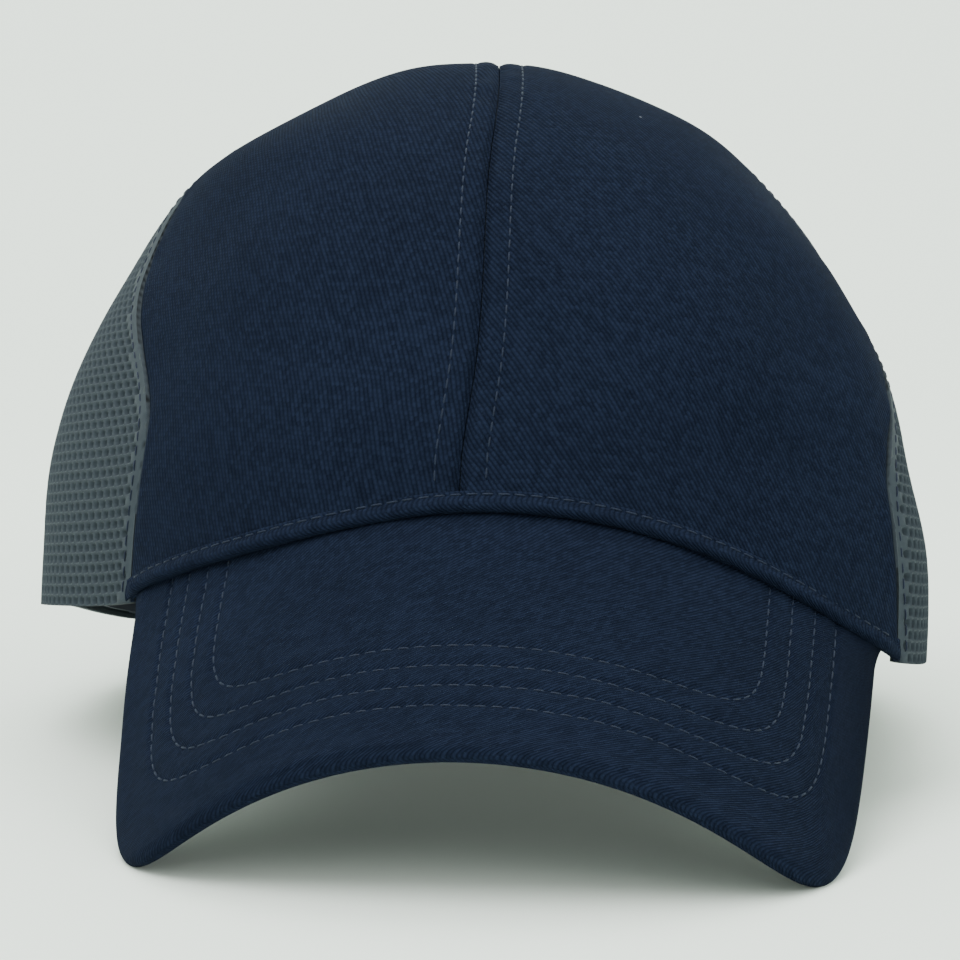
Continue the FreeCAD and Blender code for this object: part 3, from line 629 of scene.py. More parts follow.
def grain_group():
    """Moulded or foamed grain: pores and pebbles in object space."""
    wires, given, result = new_group(
        "Grain", [("Vector", VECTOR, None), ("Scale", FLOAT, 900.0)], [("Height", FLOAT), ("Mottle", FLOAT)])
    pebbles = wires.node("ShaderNodeTexVoronoi", {"Vector": given["Vector"], "Scale": given["Scale"]},
                         feature="SMOOTH_F1")
    fine = wires.noise(given["Vector"], wires.sum("MULTIPLY", given["Scale"], 2.5), 3.0, 0.6)
    wires.feed(result["Height"],
               wires.sum("ADD", pebbles.outputs["Distance"], wires.sum("MULTIPLY", fine, 0.4)))
    wires.feed(result["Mottle"], wires.noise(given["Vector"], 60.0, 4.0, 0.6))
    return wires.tree


def wear_group():
    """Rubbed edges: lighter where the surface turns sharply."""
    wires, given, result = new_group(
        "Edge Wear", [("Vector", VECTOR, None), ("Amount", FLOAT, 0.5)], [("Mask", FLOAT)])
    sharp = wires.ramp(wires.node("ShaderNodeNewGeometry").outputs["Pointiness"], 0.515, 0.56)
    patchy = wires.ramp(wires.noise(given["Vector"], 140.0, 5.0, 0.7), 0.35, 0.65)
    wires.feed(result["Mask"], wires.sum("MULTIPLY", wires.sum("MULTIPLY", sharp, patchy), given["Amount"]))
    return wires.tree


def ribs_group():
    """Fine ribs across a tape, with a woven break-up."""
    wires, given, result = new_group(
        "Tape Ribs", [("Vector", VECTOR, None), ("Pitch", FLOAT, 0.0008)],
        [("Height", FLOAT), ("Tint", FLOAT)])
    split = wires.node("ShaderNodeSeparateXYZ", {0: given["Vector"]})
    u = wires.sum("DIVIDE", split.outputs[0], given["Pitch"])
    v = wires.sum("DIVIDE", split.outputs[1], given["Pitch"])
    one = wires.sum("PINGPONG", u, 0.5)
    shifted = wires.sum("ADD", v, wires.sum("MULTIPLY", wires.sum("FLOOR", u), 0.5))
    two = wires.sum("PINGPONG", shifted, 0.5)
    high = wires.sum("MULTIPLY", wires.sum("MULTIPLY", one, two), 4.0)
    wires.feed(result["Height"], high)
    wires.feed(result["Tint"], wires.sum("MULTIPLY_ADD", high, 0.5, 0.7))
    return wires.tree


def group_named(name, build):
    return bpy.data.node_groups.get(name) or build()


def new_material(name, roughness, sheen=0.0, tint=(1, 1, 1), specular=0.3):
    material = bpy.data.materials.new(name)
    material.use_nodes = True
    wires = Wiring(material.node_tree)
    shader = material.node_tree.nodes["Principled BSDF"]
    shader.inputs["Roughness"].default_value = roughness
    shader.inputs["Sheen Weight"].default_value = sheen
    shader.inputs["Sheen Roughness"].default_value = 0.45
    shader.inputs["Sheen Tint"].default_value = (*tint, 1)
    shader.inputs["Specular IOR Level"].default_value = specular
    return material, wires, shader


def place(wires, group, inputs):
    made = wires.node("ShaderNodeGroup", node_tree=group)
    for socket, value in inputs.items():
        wires.feed(made.inputs[socket], value)
    return made.outputs


def scaled(wires, colour, factor):
    """The colour brightened or darkened by a value that changes over the surface."""
    grey = wires.node("ShaderNodeCombineColor", {0: factor, 1: factor, 2: factor}).outputs[0]
    return wires.mix(1.0, (*colour, 1), grey, "MULTIPLY")


def bumped(wires, shader, height, distance, strength=1.0):
    made = wires.node("ShaderNodeBump", {"Height": height, "Distance": distance, "Strength": strength})
    wires.feed(shader.inputs["Normal"], made.outputs[0])


def twill_material(name, slant=0.5):
    found = bpy.data.materials.get(name)
    if found:
        return found
    material, wires, shader = new_material(name, 0.85, 0.008, (0.55, 0.7, 1.0), 0.015)
    cloth = wires.node("ShaderNodeUVMap", uv_map="cloth").outputs[0]
    body = wires.node("ShaderNodeTexCoord").outputs["Object"]
    weave = place(wires, group_named("Twill Weave", twill_group),
                  {"Vector": cloth, "Pitch": sizes().twill_pitch, "Slant": slant, "Unevenness": 0.35})
    lint = place(wires, group_named("Lint and Dust", lint_group), {"Vector": body, "Amount": 0.35})
    wear = place(wires, group_named("Edge Wear", wear_group), {"Vector": body, "Amount": 0.22})
    cloudy = wires.sum("MULTIPLY", weave["Tint"], wires.ramp(lint["Cloud"], 0.3, 0.7, 0.9, 1.1))
    base = scaled(wires, colours().twill, cloudy)
    base = wires.mix(wear["Mask"], base, tuple(2.2 * c for c in colours().twill) + (1,))
    base = wires.mix(wires.sum("MULTIPLY", lint["Speck"], 0.5), base, (0.35, 0.36, 0.37, 1))
    wires.feed(shader.inputs["Base Color"], base)
    wires.feed(shader.inputs["Roughness"], wires.ramp(weave["Height"], 0, 1, 0.95, 0.78))
    bumped(wires, shader, weave["Height"], 0.00022)
    return material


def mesh_material():
    found = bpy.data.materials.get("spacer_mesh")
    if found:
        return found
    material, wires, shader = new_material("spacer_mesh", 0.8, 0.0, (0.6, 0.75, 1.0), 0.0)
    body = wires.node("ShaderNodeTexCoord").outputs["Object"]
    pit_shade = wires.node("ShaderNodeAttribute", attribute_name="pit_shade").outputs["Fac"]
    knit = wires.node("ShaderNodeTexNoise", {"Vector": body, "Scale": 1500.0, "Detail": 2.0}).outputs["Fac"]
    lint = place(wires, group_named("Lint and Dust", lint_group), {"Vector": body, "Amount": 0.3})
    # Painted shade: pit_shade (0 on the bars, 1 on the closed floors of the hollows) darkens the colour down to
    # a quarter, standing in for the shade inside the holes; the knit noise is a random tone.
    shade = wires.sum("MULTIPLY", wires.ramp(pit_shade, 0, 1, 1.0, 0.25), wires.ramp(knit, 0.3, 0.7, 0.8, 1.2))
    cloudy = wires.ramp(lint["Cloud"], 0.3, 0.7, 0.85, 1.15)
    base = scaled(wires, colours().mesh, wires.sum("MULTIPLY", shade, cloudy))
    wires.feed(shader.inputs["Base Color"], wires.mix(wires.sum("MULTIPLY", lint["Speck"], 0.4), base,
                                                      (0.3, 0.31, 0.32, 1)))
    wires.feed(shader.inputs["Roughness"], wires.ramp(knit, 0.3, 0.7, 0.72, 0.88))
    bumped(wires, shader, knit, 0.00012)
    return material


def thread_material():
    found = bpy.data.materials.get("thread")
    if found:
        return found
    material, wires, shader = new_material("thread", 0.55, 0.04, (0.6, 0.75, 1.0), 0.12)
    body = wires.node("ShaderNodeTexCoord").outputs["Object"]
    twist = wires.noise(body, 2200.0, 2.0, 0.6)
    wires.feed(shader.inputs["Base Color"],
               scaled(wires, colours().thread, wires.ramp(twist, 0.3, 0.7, 0.7, 1.3)))
    wires.feed(shader.inputs["Roughness"], wires.ramp(twist, 0.3, 0.7, 0.5, 0.65))
    bumped(wires, shader, twist, 0.00006)
    return material


def tape_material(name, pitch, colour, sheen=0.08, depth=0.00012):
    found = bpy.data.materials.get(name)
    if found:
        return found
    material, wires, shader = new_material(name, 0.8, 0.2 * sheen, (0.6, 0.75, 1.0), 0.03)
    cloth = wires.node("ShaderNodeUVMap", uv_map="cloth").outputs[0]
    body = wires.node("ShaderNodeTexCoord").outputs["Object"]
    weave = place(wires, group_named("Tape Ribs", ribs_group), {"Vector": cloth, "Pitch": pitch})
    lint = place(wires, group_named("Lint and Dust", lint_group), {"Vector": body, "Amount": 0.3})
    tint = wires.sum("MULTIPLY", weave["Tint"], wires.ramp(lint["Cloud"], 0.3, 0.7, 0.85, 1.15))
    wires.feed(shader.inputs["Base Color"], scaled(wires, colour, tint))
    wires.feed(shader.inputs["Roughness"], wires.ramp(weave["Height"], 0, 1, 0.9, 0.72))
    bumped(wires, shader, weave["Height"], depth)
    return material


def grain_material(name, colour, roughness, scale, depth, spread=0.15, sheen=0.0, wear=0.0):
    found = bpy.data.materials.get(name)
    if found:
        return found
    material, wires, shader = new_material(name, roughness, sheen, (0.8, 0.85, 1.0), 0.4)
    body = wires.node("ShaderNodeTexCoord").outputs["Object"]
    grain = place(wires, group_named("Grain", grain_group), {"Vector": body, "Scale": scale})
    rubbed = place(wires, group_named("Edge Wear", wear_group), {"Vector": body, "Amount": wear})
    base = scaled(wires, colour, wires.ramp(grain["Mottle"], 0.3, 0.7, 1 - spread, 1 + spread))
    base = wires.mix(rubbed["Mask"], base, tuple(min(1, 2.5 * c) for c in colour) + (1,))
    wires.feed(shader.inputs["Base Color"], base)
    wires.feed(shader.inputs["Roughness"],
               wires.ramp(grain["Mottle"], 0.3, 0.7, roughness - 0.06, roughness + 0.06))
    bumped(wires, shader, grain["Height"], depth)
    return material


def hook_material():
    return grain_material("hook_tape", (0.012, 0.013, 0.017), 0.45, 1500.0, 0.0005)


def loop_material():
    return grain_material("loop_tape", (0.014, 0.016, 0.024), 0.95, 2200.0, 0.0005, sheen=0.3)


def foam_material():
    return grain_material("foam", colours().foam, 0.92, 1400.0, 0.00025, 0.2, 0.05)


# ---------------------------------------------------------------- woven front panels
def panel_shares(columns):
    return clustered(columns, 0.25, 0.4)


def panel_places(seam_from, seam_to, side, ups, shares, margin, tip, lift=0.0004, depth=0.0):
    """Azimuths, rises and the distances to both seams, for a grid on a panel."""
    top = tip_rise(tip)

    def beside(seam, distance):
        azimuth = seam_azimuth(seam, ups)
        rise = edge_rise(side * azimuth, lift, depth)
        rise = rise + (top(azimuth) - rise) * ups
        radius = np.hypot(*np.moveaxis(on_crown(azimuth, rise)[..., :2], -1, 0))
        return azimuth + np.degrees(distance / radius)

    left, right = beside(seam_from, margin), beside(seam_to, -margin)
    azimuth = side * (left[:, None] + (right - left)[:, None] * shares[None, :])
    foot = edge_rise(azimuth, lift, depth)
    rise = foot + (top(azimuth) - foot) * ups[:, None]
    radius = np.hypot(*np.moveaxis(on_crown(azimuth, rise)[..., :2], -1, 0))
    to_left = np.radians(np.abs(azimuth - side * left[:, None])) * radius
    to_right = np.radians(np.abs(azimuth - side * right[:, None])) * radius
    return azimuth, rise, to_left, to_right


def front_depth(azimuth, rise, to_middle, to_side):
    """How far the cloth of a front panel dips: its seams, its topstitching and its slack."""
    points = crown(azimuth, rise)
    offset = sizes().topstitch_offset
    centre = (0.0011 - 0.0006 * smooth((rise - 40) / 35)) * bump(to_middle, 0.0009)
    seam = centre + 0.0010 * bump(to_side, 0.0012)
    row = 0.00028 * bump(to_middle - offset, 0.0006)
    pucker = 0.00016 * RIPPLE(points) * (bump(to_middle - 0.003, 0.0035) + bump(to_side - 0.003, 0.004))
    swell = -0.00022 * bump(to_middle - 0.0028, 0.0016)
    return seam + row + pucker + swell + 0.0005 * SLACK(points) * smooth(to_middle / 0.03)


def front_panel(name, side):
    ups, shares = clustered(190, 0.5, 1.0), panel_shares(140)
    places = panel_places(CENTRE_SEAM, FRONT_SEAM, side, ups, shares, PANEL_GAP, PANEL_TIP)
    azimuth, rise = places[:2]
    depth = front_depth(*places)
    outer = crown(azimuth, rise, depth)
    inner = crown(azimuth, rise, depth + TWILL)
    grain = math.radians(74.0 if side < 0 else 52.0)
    made = slab(name, outer, inner, turn=-side * (math.pi / 2 - grain))
    material = twill_material("twill_front_" + ("left" if side > 0 else "right"), 0.5)
    return finish_piece(made, "cap", material, "twill", name)


def plain_panel(name, seam_from, seam_to, side, depth, thick, margin, tip, material, slot_name,
                counts=(60, 40), lift=0.0004):
    """An even sheet of cloth between two seams."""
    ups, shares = np.linspace(0, 1, counts[0]), np.linspace(0, 1, counts[1])
    azimuth, rise, *_ = panel_places(seam_from, seam_to, side, ups, shares, margin, tip, lift, depth)
    made = slab(name, crown(azimuth, rise, depth), crown(azimuth, rise, depth + thick))
    return finish_piece(made, "cap", material, slot_name, name)


# ---------------------------------------------------------------- knitted mesh
# Rings inside each mesh cell: share of the way from the cell's middle to its rim, depth, and the painted shade
# they get (pit_shade), from 0 on the bars to 1 on the floor.
MESH_RINGS = ((0.76, 0.00038, 0.15), (0.56, 0.00125, 1.0))
CORNER_PULL = 0.76


def knitted(name, left, right, side, clip=None):
    """A sheet with staggered hollows between left(up) and right(up), whose floors carry painted shade; clip
    pushes points off an opening.
    """
    kit = sizes()
    ups = np.linspace(0, 1, 240)

    def rise_of(azimuth, up):
        foot = edge_rise(side * azimuth, 0.0004)
        return foot + (PANEL_TOP(azimuth) - foot) * up

    middle = (left(ups) + right(ups)) / 2
    spine = on_crown(middle, rise_of(middle, ups))
    length = np.concatenate([[0], np.linalg.norm(np.diff(spine, axis=0), axis=-1).cumsum()])
    rows = int(length[-1] / kit.hole_up)
    up = np.interp(np.linspace(0, length[-1], 2 * rows + 1), length, ups)
    radius = np.interp(up, ups, np.hypot(spine[:, 0], spine[:, 1]))
    widest = np.radians((right(up) - left(up)) / 2) * radius
    half = int(widest.max() * 1.05 / (kit.hole_across / 2)) + 3
    steps = np.arange(-half, half + 1) * kit.hole_across / 2
    middle = (left(up) + right(up)) / 2
    free = middle[:, None] + np.degrees(steps[None, :] / radius[:, None])
    azimuth = np.clip(free, left(up)[:, None], right(up)[:, None])
    border = np.degrees(0.45 * kit.hole_across / radius)[:, None]
    cut = (free < left(up)[:, None] + border) | (free > right(up)[:, None] - border)
    rise = rise_of(azimuth, up[:, None])
    if clip:
        azimuth, rise, inside = clip(azimuth, rise)
        cut = cut | inside
    else:
        inside = np.zeros(cut.shape, bool)

    width = azimuth.shape[1]
    corners = []
    for row in range(rows):
        first = np.arange(row % 2, width - 2, 2)
        low = 2 * row * width + first
        corners.append(np.stack([low, low + 1, low + 2, low + width + 2, low + 2 * width + 2,
                                 low + 2 * width + 1, low + 2 * width, low + width], -1))
    cells = np.concatenate(corners)
    flat_azimuth, flat_rise, flat_cut = azimuth.ravel(), rise.ravel(), cut.ravel()
    spread = np.ptp(flat_azimuth[cells], axis=1) > 0.02
    cells = cells[spread & ~inside.ravel()[cells].all(axis=1)]
    whole = ~flat_cut[cells].any(axis=1)

    used, local = np.unique(cells, return_inverse=True)
    cells = local.reshape(cells.shape)
    rim_azimuth, rim_rise = flat_azimuth[used], flat_rise[used]
    middle_azimuth = rim_azimuth[cells].mean(1)
    middle_rise = rim_rise[cells].mean(1)
    count, total = len(cells), len(used)
    pull = np.tile([CORNER_PULL, 1.0], 4)
    places = [(rim_azimuth, rim_rise, np.zeros(total), np.zeros(total))]
    for share, depth, pit_shade in MESH_RINGS:
        reach = share * pull[None, :]
        ring_azimuth = middle_azimuth[:, None] + (rim_azimuth[cells] - middle_azimuth[:, None]) * reach
        ring_rise = middle_rise[:, None] + (rim_rise[cells] - middle_rise[:, None]) * reach
        places.append((ring_azimuth.ravel(), ring_rise.ravel(),
                       np.full(8 * count, depth), np.full(8 * count, pit_shade)))
    # Whole cells get a closed floor painted fully dark (pit_shade 1) as the shade of a hole; cut cells at the
    # panel's edges stay flat and unshaded.
    floor = np.where(whole, MESH_RINGS[-1][1], 0.0)
    places.append((middle_azimuth, middle_rise, floor, np.where(whole, 1.0, 0.0)))
    places.append((rim_azimuth, rim_rise, np.full(total, MESH), np.zeros(total)))
    places.append((middle_azimuth, middle_rise, np.full(count, MESH), np.zeros(count)))
    starts = np.cumsum([0] + [len(place[0]) for place in places])
    azimuths, rises, depths, pit_shades = (np.concatenate(column) for column in zip(*places))
    points = crown(side * azimuths, rises, depths + mesh_dip(side * azimuths, rises))

    after = np.roll(np.arange(8), -1)
    ring_one = starts[1] + np.arange(8 * count).reshape(count, 8)
    ring_two = starts[2] + np.arange(8 * count).reshape(count, 8)
    middles, backs = starts[3] + np.arange(count), starts[5] + np.arange(count)

    def strip(low, high):
        return np.stack([low, low[:, after], high[:, after], high], -1).reshape(-1, 4)

    def fan(ring, centre):
        ends = [[ring[:, k], ring[:, k + 1], centre, ring[:, k - 1]] for k in (0, 2, 4, 6)]
        return np.concatenate([np.stack(np.broadcast_arrays(*end), -1) for end in ends])

    faces = [strip(cells[whole], ring_one[whole]), strip(ring_one[whole], ring_two[whole]),
             fan(ring_two[whole], middles[whole]), fan(cells[~whole], middles[~whole])]
    rim_back = cells + starts[4]
    faces.append(fan(rim_back, backs)[:, ::-1])
    edges = np.stack([cells, cells[:, after]], -1).reshape(-1, 2)
    _, place, times = np.unique(np.sort(edges, 1), axis=0, return_index=True, return_counts=True)
    alone = edges[place[times == 1]]
    faces.append(np.stack([alone[:, 1], alone[:, 0], alone[:, 0] + starts[4], alone[:, 1] + starts[4]], -1))
    faces = np.concatenate(faces)
    if side < 0:
        faces = faces[:, ::-1]
    keep = np.unique(faces)
    remap = np.zeros(len(points), int)
    remap[keep] = np.arange(len(keep))
    made = add_object(name, points[keep], remap[faces], pit_shade=pit_shades[keep])
    return finish_piece(made, "cap", mesh_material(), "spacer_mesh", name)


def mesh_dip(azimuth, rise):
    """The mesh dips into its seams and is a little slack between them."""
    points = crown(azimuth, rise)
    up = np.clip(rise / 90.0, 0, 1)
    radius = np.hypot(points[..., 0], points[..., 1])
    to_seams = [np.radians(np.abs(np.abs(azimuth) - seam_azimuth(seam, up))) * radius
                for seam in (FRONT_SEAM, REAR_SEAM)]
    seam = sum(0.0009 * bump(gap, 0.0014) for gap in to_seams)
    return seam + 0.0005 * SLACK(points)


def seam_line(seam, distance, side=1):
    def at(up):
        up = np.asarray(up, float)
        azimuth = seam_azimuth(seam, up)
        foot = edge_rise(side * azimuth, 0.0004)
        rise = foot + (PANEL_TOP(azimuth) - foot) * up
        radius = np.hypot(*np.moveaxis(on_crown(azimuth, rise)[..., :2], -1, 0))
        return azimuth + np.degrees(distance / radius)
    return at


HEIGHTS = on_crown(np.full(900, 180.0), np.linspace(LOWEST_RISE, HIGHEST_RISE, 900))[:, 2]


def rise_for_height(height):
    return np.interp(height, HEIGHTS, np.linspace(LOWEST_RISE, HIGHEST_RISE, 900))


def back_azimuth(x, rise):
    """The azimuth on the back half where the crown is this wide."""
    turns = np.linspace(180.0, 90.0, 900)
    widths = on_crown(turns, 0.0 * turns)[:, 0]
    level = rounding(rise, DOME_POWER) * np.cos(np.radians(rise))
    return np.interp(np.abs(x) / level, widths, turns)


def off_opening(azimuth, rise):
    """Pushes places inside the half-moon opening out to its edge."""
    point = on_crown(azimuth, rise)
    x, z = point[..., 0], point[..., 2]
    share = np.hypot(x / OPENING_HALF_WIDTH, np.maximum(z, 0) / OPENING_HEIGHT)
    inside = (share < 1) & (azimuth > 90)
    scale = np.where(inside, 1 / np.maximum(share, 1e-3), 1.0)
    height = np.where(z > 0, z * scale, z)
    pushed_x = np.where(z > 0, x * scale, np.maximum(np.abs(x), OPENING_HALF_WIDTH))
    new_rise = np.where(inside, rise_for_height(height), rise)
    new_azimuth = np.where(inside, back_azimuth(pushed_x, new_rise), azimuth)
    return new_azimuth, new_rise, inside


# ---------------------------------------------------------------- rolled edge above the bill
BAND_PROFILE = ((0.0048, 0.0001), (0.0043, 0.0003), (0.0039, 0.0002), (0.0034, 0.0009), (0.0027, 0.0015),
                (0.0019, 0.0018), (0.0011, 0.0016), (0.0005, 0.0010), (0.0003, 0.0002), (0.0006, -0.0002),
                (0.0046, -0.0002))
BAND_STITCH_HEIGHT = 0.0040


def seam_band():
    azimuth = np.linspace(-FRONT_SEAM[0] + 0.6, FRONT_SEAM[0] - 0.6, 420)
    grid = []
    for lift, out in BAND_PROFILE:
        rise = edge_rise(azimuth, lift)
        points = crown(azimuth, rise)
        puff = 1 + 0.16 * RIPPLE(points) + 0.08 * SLACK(points)
        fade = 1 - 0.75 * smooth((np.abs(azimuth) - 50.0) / 3.4)
        grid.append(crown(azimuth, rise, -out * puff * fade))
    grid = np.array(grid)
    rows, columns = grid.shape[:2]
    faces = quads(rows, columns)
    closing = quads(2, columns)
    closing = np.where(closing >= columns, closing - columns, closing + (rows - 1) * columns)
    ends = [np.arange(rows) * columns, np.arange(rows)[::-1] * columns + columns - 1]
    across, up = cloth_uv(grid)
    turn = math.radians(30.0)
    uv = np.stack([across * math.cos(turn) - up * math.sin(turn),
                   across * math.sin(turn) + up * math.cos(turn)], -1).reshape(-1, 2)
    all_faces = [face for face in np.concatenate([faces, closing])[:, ::-1]] + ends
    made = add_object("bill_seam_band", grid.reshape(-1, 3), all_faces, uv)
    return finish_piece(made, "cap", twill_material("twill_bill", 0.5), "twill", "bill_seam_band")


# ---------------------------------------------------------------- bill
EDGE_ROUND = BILL_THICKNESS / 2


def bill_row_margins():
    kit = sizes()
    return [kit.bill_first_row + i * kit.bill_row_gap for i in range(kit.bill_rows)]


def bill_dip(span, reach):
    """The top cloth sinks along each row of stitches and swells between them."""
    depth_in = inset(span, reach)
    rows = sum(0.00042 * bump(depth_in - margin, 0.0008) for margin in bill_row_margins())
    edge = -0.00030 * bump(depth_in - 0.0035, 0.0022)
    points = bill(span, reach)
    return rows + edge + 0.00022 * SLACK(points) + 0.00008 * RIPPLE(points) * bump(depth_in - 0.021, 0.012)


def bill_places(shares, margin, rows, depth=0.0, behind=0.0027):
    """span and reach of a grid from the crown to a line inside the bill's edge."""
    azimuth = shares * (FRONT_SEAM[0] - 0.5)
    point = crown(azimuth, edge_rise(azimuth, 0.0, behind), behind)
    near = span_and_reach(point[:, 0] - BILL_SIDEWAYS, point[:, 1], depth)
    far = bill_outline(shares, margin)
    steps = np.linspace(0, 1, rows)[:, None]
    return [near[k][None] + (far[k] - near[k])[None] * steps for k in (0, 1)]


def bill_cover(name, top, nodes):
    """One cloth of the bill, which turns round the edge to its middle."""
    shares = np.linspace(-1, 1, 361)
    span, reach = bill_places(shares, EDGE_ROUND, 150)
    dip = bill_dip(span, reach) if top else -0.0001 * SLACK(bill(span, reach))
    skins = []
    for inward in (0.0, BILL_CLOTH):
        grid = [bill(span, reach, (dip + inward) if top else BILL_THICKNESS - dip - inward)]
        for turn in np.radians(np.linspace(12, 88, 7)):
            size = EDGE_ROUND - inward
            edge = bill_outline(shares, EDGE_ROUND - size * math.sin(turn))
            sunk = EDGE_ROUND - size * math.cos(turn) + 0.00012 * (1 - math.cos(turn))
            grid.append(bill(*edge, sunk if top else BILL_THICKNESS - sunk)[None])
        skins.append(np.concatenate(grid))
    if not top:
        skins = skins[::-1]
    made = slab(name, skins[0], skins[1], turn=math.radians(-28.0 if top else 20.0))
    return finish_piece(made, "cap", twill_material("twill_bill", 0.5), "twill", *nodes)


def bill_board():
    shares = np.linspace(-0.95, 0.95, 121)
    top, bottom = (BILL_CLOTH + 0.0003, BILL_THICKNESS - BILL_CLOTH - 0.0003)
    skins = [bill(*bill_places(shares, 0.003, 40, depth), depth) for depth in (top, bottom)]
    made = slab("bill_board", *skins)
    material = grain_material("bill_plastic", (0.72, 0.72, 0.69), 0.5, 500.0, 0.00004)
    return finish_piece(made, "cap", material, "bill_plastic", "bill_board")


def bill_stitches():
    kit = sizes()
    runs = []
    for number, margin in enumerate(bill_row_margins()):
        share = np.linspace(-1, 1, 1600)
        span, reach = bill_outline(share, margin)
        tail = np.linspace(0, 1, 60)[1:]
        ends = []
        for side in (-1, 1):
            azimuth = side * 47.0
            point = crown(np.array([azimuth]), edge_rise(np.array([azimuth]), 0.0))
            stop = span_and_reach(point[:, 0] - BILL_SIDEWAYS, point[:, 1], 0.0)[1][0] + 0.001
            ends.append((np.full(tail.shape, side * (BILL_HALF_SPAN - margin)),
                         BILL_SHOULDER + (stop - BILL_SHOULDER) * tail))
        span = np.concatenate([ends[0][0][::-1], span, ends[1][0]])
        reach = np.concatenate([ends[0][1][::-1], reach, ends[1][1]])
        line = bill(span, reach, bill_dip(span, reach))
        normal = bill(span, reach, -0.001) - bill(span, reach, 0.0)
        runs.append(thread_run(line, normal, kit.stitch_length, kit.stitch_gap, kit.thread, number))
    made = stitch_object("bill_stitches", runs)
    return finish_piece(made, "cap", thread_material(), "twill")


# ---------------------------------------------------------------- crown stitches
def crown_stitches():
    kit = sizes()
    runs = []
    up = np.linspace(0.035, 0.965, 900)
    for side in (-1, 1):
        line = seam_line(CENTRE_SEAM, kit.topstitch_offset, side)
        azimuth = side * line(up)
        foot = edge_rise(azimuth, 0.0004)
        rise = foot + (PANEL_TOP(azimuth) - foot) * up
        depth = front_depth(azimuth, rise, np.full(len(up), kit.topstitch_offset), np.full(len(up), 0.05))
        runs.append(crown_run(azimuth, rise, depth, 10 + side))
    azimuth = np.linspace(-FRONT_SEAM[0] + 2.5, FRONT_SEAM[0] - 2.5, 1200)
    runs.append(crown_run(azimuth, edge_rise(azimuth, BAND_STITCH_HEIGHT), -0.0003, 20))
    made = stitch_object("crown_stitches", runs)
    return finish_piece(made, "cap", thread_material(), "twill")


MESH_ROWS = ((FRONT_SEAM, 0.0022), (REAR_SEAM, -0.0022), (REAR_SEAM, 0.0022))


def mesh_stitches():
    """Rows beside the seams of the mesh panels."""
    runs = []
    up = np.linspace(0.01, 0.9, 800)
    for side in (-1, 1):
        for number, (seam, offset) in enumerate(MESH_ROWS):
            azimuth = seam_line(seam, offset, side)(up)
            foot = edge_rise(side * azimuth, 0.0004)
            rise = foot + (PANEL_TOP(azimuth) - foot) * up
            dip = mesh_dip(side * azimuth, rise)
            runs.append(crown_run(side * azimuth, rise, dip, 30 + number + side))
    made = stitch_object("mesh_stitches", runs)
    return finish_piece(made, "cap", thread_material(), "spacer_mesh")


# ---------------------------------------------------------------- back opening, straps and sweatband
def azimuth_at(x, height):
    return float(back_azimuth(x, rise_for_height(height)))


OPENING_FOOT = azimuth_at(OPENING_HALF_WIDTH, STRAP_LIFT + STRAP_HEIGHT / 2)
TURN_PER_METRE = math.degrees(1 / np.hypot(*on_crown(np.array(OPENING_FOOT), np.array(0.0))[:2]))
ROOT = OPENING_FOOT + STRAP_ROOT * TURN_PER_METRE
ANCHOR = ROOT - STRAP_ANCHOR * TURN_PER_METRE
FREE = ROOT + STRAP_FOLD * TURN_PER_METRE
TIP = 360.0 - ROOT - STRAP_SHORT * TURN_PER_METRE
PATCH_START = TIP - (PATCH_LENGTH + PATCH_MARGIN) * TURN_PER_METRE
PATCH_END = TIP - PATCH_MARGIN * TURN_PER_METRE


STRAP_ROWS = (0.1, 0.9)


def strap_share(azimuth):
    return smooth((azimuth - ROOT) / (STRAP_STEP * TURN_PER_METRE))


def hook_depth(azimuth):
    return -LAYER_GAP + (HOOK_STRAP_DEPTH + LAYER_GAP) * strap_share(azimuth)


def loop_depth(azimuth):
    return LOOP_STRAP_DEPTH * (1 - strap_share(azimuth))


def strap_strip(name, start, end, side, depth_of, thick, body, material, slot_name, trim=0.0):
    """A length of strap with rounded long edges; thick is outwards when negative."""
    azimuth = np.linspace(start, end, 90)
    shares = clustered(24, 0.3, 0.3)
    low, high = STRAP_LIFT + trim, STRAP_LIFT + STRAP_HEIGHT - trim
    skins = []
    for face in (0.0, 1.0):
        grid = []
        for share in shares:
            round_off = thick * 0.32 * (bump(share, 0.035) + bump(1 - share, 0.035))
            rise = rise_at(azimuth, np.full(azimuth.shape, low + (high - low) * share))
            stitch_dip = 0.12 * thick * sum(bump(share - row, 0.03) for row in STRAP_ROWS)
            depth = depth_of(azimuth) + face * thick + (round_off + stitch_dip) * (1 - 2 * face)
            grid.append(crown(side * azimuth, rise, depth))
        skins.append(np.array(grid))
    if (thick < 0) == (side > 0):
        skins = skins[::-1]
    made = slab(name, *skins)
    return finish_piece(made, body, material, slot_name, name)


def level(value):
    return lambda azimuth: np.full(np.shape(azimuth), value)


